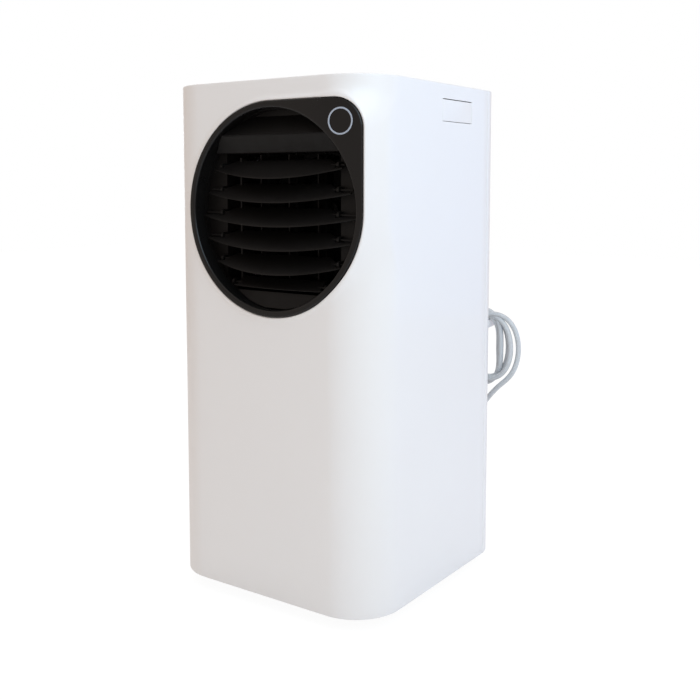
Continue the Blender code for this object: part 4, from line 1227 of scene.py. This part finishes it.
def lid():
    """The lid: rounded border, a shallow dish and an opening for the control panel."""
    low, high = flat_box("top_cover")
    levels = [(LID_INSET, low.z), (LID_INSET, high.z - 0.0009), (LID_INSET + 0.0003, high.z - 0.0003)]
    levels += [(LID_INSET + 0.0009, high.z), (0.0150, high.z), (0.0165, high.z - 0.0003)]
    levels += [(0.0180, high.z - 0.0008)]
    loops = []
    for inset, z in levels:
        front = arc((HALF_W - FRONT_R, FRONT_Y + FRONT_R), FRONT_R - inset, -90, 0, 24)
        rear = arc((HALF_W - REAR_R, BACK_Y - REAR_R), REAR_R - inset, 0, 90, 20)
        right = front + rear
        loops.append([(x, y, z) for x, y in right + [(-x, y) for x, y in reversed(right)]])
    made = cover("top_cover", [loft(loops)], "white_casing")
    low, high = flat_box("control_panel")
    hole_low = (low.x - PANEL_GAP, low.y - PANEL_GAP, 0.60)
    hole_high = (high.x + PANEL_GAP, high.y + PANEL_GAP, 0.80)
    carve(made, [block(hole_low, hole_high, 0.005, 0.0001, "Z")])


BUTTON_NAMES = ("power", "mode", "fan", "down", "up")
LAMP = [(0, 0.7010), (0.0009, 0.7010), (0.0009, 0.7021), (0.0006, 0.7023), (0, 0.7024)]
LAMP_BEHIND = 0.0115


def button_place(word):
    low, high = flat_box("button_" + word)
    return (low.x + high.x) / 2, (low.y + high.y) / 2, high.z


def control_panel():
    """A gloss black panel with round button wells, a blank display window and small lamps."""
    shape = block(*flat_box("control_panel"), 0.0046, 0.0006, "Z")
    made = cover("control_panel", [shape], "gloss_black", finish=PANEL)
    places = [button_place(word)[:2] for word in BUTTON_NAMES]
    cuts = [turn(rod(0.0074, 0.69, 0.71), (x, y, 0), "Z", 48) for x, y in places]
    cuts.append(block((-0.022, -0.145, 0.7014), (0.022, -0.131, 0.71), 0.002, 0.0002, "Z"))
    carve(made, cuts)
    window = block((-0.0216, -0.1446, 0.7008), (0.0216, -0.1314, 0.70185), 0.0018, 0.0002, "Z")
    piece("display_window", [window], FINISHES["gloss_black"])
    lamps = [turn(LAMP, (x, y + LAMP_BEHIND, 0), "Z", 20) for x, y in places]
    piece("panel_lamps", lamps, LED)


def prism(outline, low, high):
    return loft([[(x, y, low) for x, y in outline], [(x, y, high) for x, y in outline]])


def rectangle(x0, y0, x1, y1):
    return [(x0, y0), (x1, y0), (x1, y1), (x0, y1)]


def button_mark(word, x, y):
    """Outlines of a plain mark: a broken circle with a bar, four squares, three discs or a triangle."""
    if word == "power":
        outer = arc((x, y), 0.0030, 125, 415, 28)
        inner = arc((x, y), 0.0023, 415, 125, 28)
        return [outer + inner, rectangle(x - 0.0004, y + 0.0008, x + 0.0004, y + 0.0034)]
    if word == "mode":
        middles = [(x + a, y + b) for a in (-0.0014, 0.0014) for b in (-0.0014, 0.0014)]
        return [rectangle(a - 0.0007, b - 0.0007, a + 0.0007, b + 0.0007) for a, b in middles]
    if word == "fan":
        angles = [pi / 2 + tau * i / 3 for i in range(3)]
        return [arc((x + 0.0016 * cos(t), y + 0.0016 * sin(t)), 0.0011, 0, 345, 15) for t in angles]
    if word == "up":
        return [[(x - 0.0024, y - 0.0014), (x + 0.0024, y - 0.0014), (x, y + 0.0024)]]
    return [[(x, y - 0.0024), (x + 0.0024, y + 0.0014), (x - 0.0024, y + 0.0014)]]


def buttons():
    for word in BUTTON_NAMES:
        body = "button_" + word
        x, y, top = button_place(word)
        low = flat_box(body)[0].z
        profile = [(0, low), (0.0070, low), (0.0070, top - 0.0008), (0.0068, top - 0.0003), (0.0063, top)]
        profile += [(0.0057, top - 0.0001), (0.0040, top - 0.0005), (0, top - 0.0006)]
        cover(body, [turn(profile, (x, y, 0), "Z", 48)], "grey_plastic", body)
        marks = [prism(outline, top - 0.0009, top - 0.0003) for outline in button_mark(word, x, y)]
        piece(body + "_mark", marks, PALE, body)


# ---------------------------------------------------------------- castors


GROOVE_X = -0.0026
WEB_COUNT = 5


def castor_wheels():
    """Rubber tyres with a grooved tread, on grey hubs with five webs."""
    for word in ("front_left", "front_right", "rear_left", "rear_right"):
        node = "castor_wheel_" + word
        low, high = flat_box(node)
        middle = (low + high) / 2
        r, half = (high.z - low.z) / 2, (high.x - low.x) / 2
        tyre = [(r - 0.0042, -half), (r - 0.0016, -half), (r - 0.0005, -half + 0.0006), (r, -half + 0.0018)]
        tyre += [(r, GROOVE_X - 0.0007), (r - 0.0006, GROOVE_X - 0.0004)]
        tyre += [(r - 0.0006, GROOVE_X + 0.0004), (r, GROOVE_X + 0.0007)]
        piece(node + "_tyre", [turn(mirrored(tyre), middle, "X", 72)], RUBBER, node, [node])
        rim = r - 0.0043
        hub = [(0.0026, -half), (0.0046, -half), (0.0050, -half + 0.0012), (rim - 0.0012, -half + 0.0020)]
        hub += [(rim - 0.0006, -half + 0.0004), (rim, -half + 0.0004)]
        shapes = [turn(mirrored(hub), middle, "X", 56)]
        web_low, web_high = (-half + 0.0006, -0.0006, 0.0044), (half - 0.0006, 0.0006, rim - 0.0004)
        web = block(web_low, web_high, 0.0004, 0.0002, "X", 2)
        for i in range(WEB_COUNT):
            spin = Matrix.Rotation(tau * i / WEB_COUNT, 4, "X")
            shapes.append(moved(web, Matrix.Translation(middle) @ spin))
        piece(node + "_hub", shapes, FINISHES["grey_plastic"], node)


# ---------------------------------------------------------------- everything


SOFTENED = {
    "cord_hook": 0.0009,
    "duct_frame": 0.0003,
    "base_pan": 0.0008,
    "middle_tray": 0.0006,
    "handle_pocket_left": 0.0006,
    "handle_pocket_right": 0.0006,
}


def finish_nodes():
    """Materials of the CAD pieces that show as they are."""
    for part in frame["record"]["subparts"]:
        node = NODES[part["node"]]
        node.data.materials.clear()
        node.data.materials.append(FINISHES[part["material_slot"]])
    for name, width in SOFTENED.items():
        bevel = NODES[name].modifiers.new("edges", "BEVEL")
        bevel.width = width
        bevel.segments = 2
        bevel.limit_method = "ANGLE"
        bevel.angle_limit = radians(40)


make_camera()
mains_cord()
make_studio()
make_floor()
finish_nodes()
front_shell()
outlet_bezel()
ring_light()
recess_wall()
for blade_number in range(1, BLADE_COUNT + 1):
    louvre_blade(blade_number)
grip_flap("left", -1)
grip_flap("right", 1)
rear_shell()
filter_door()
lower_grille()
exhaust_collar()
screws()
drain_plugs()
cord_gland()
lid()
control_panel()
buttons()
castor_wheels()
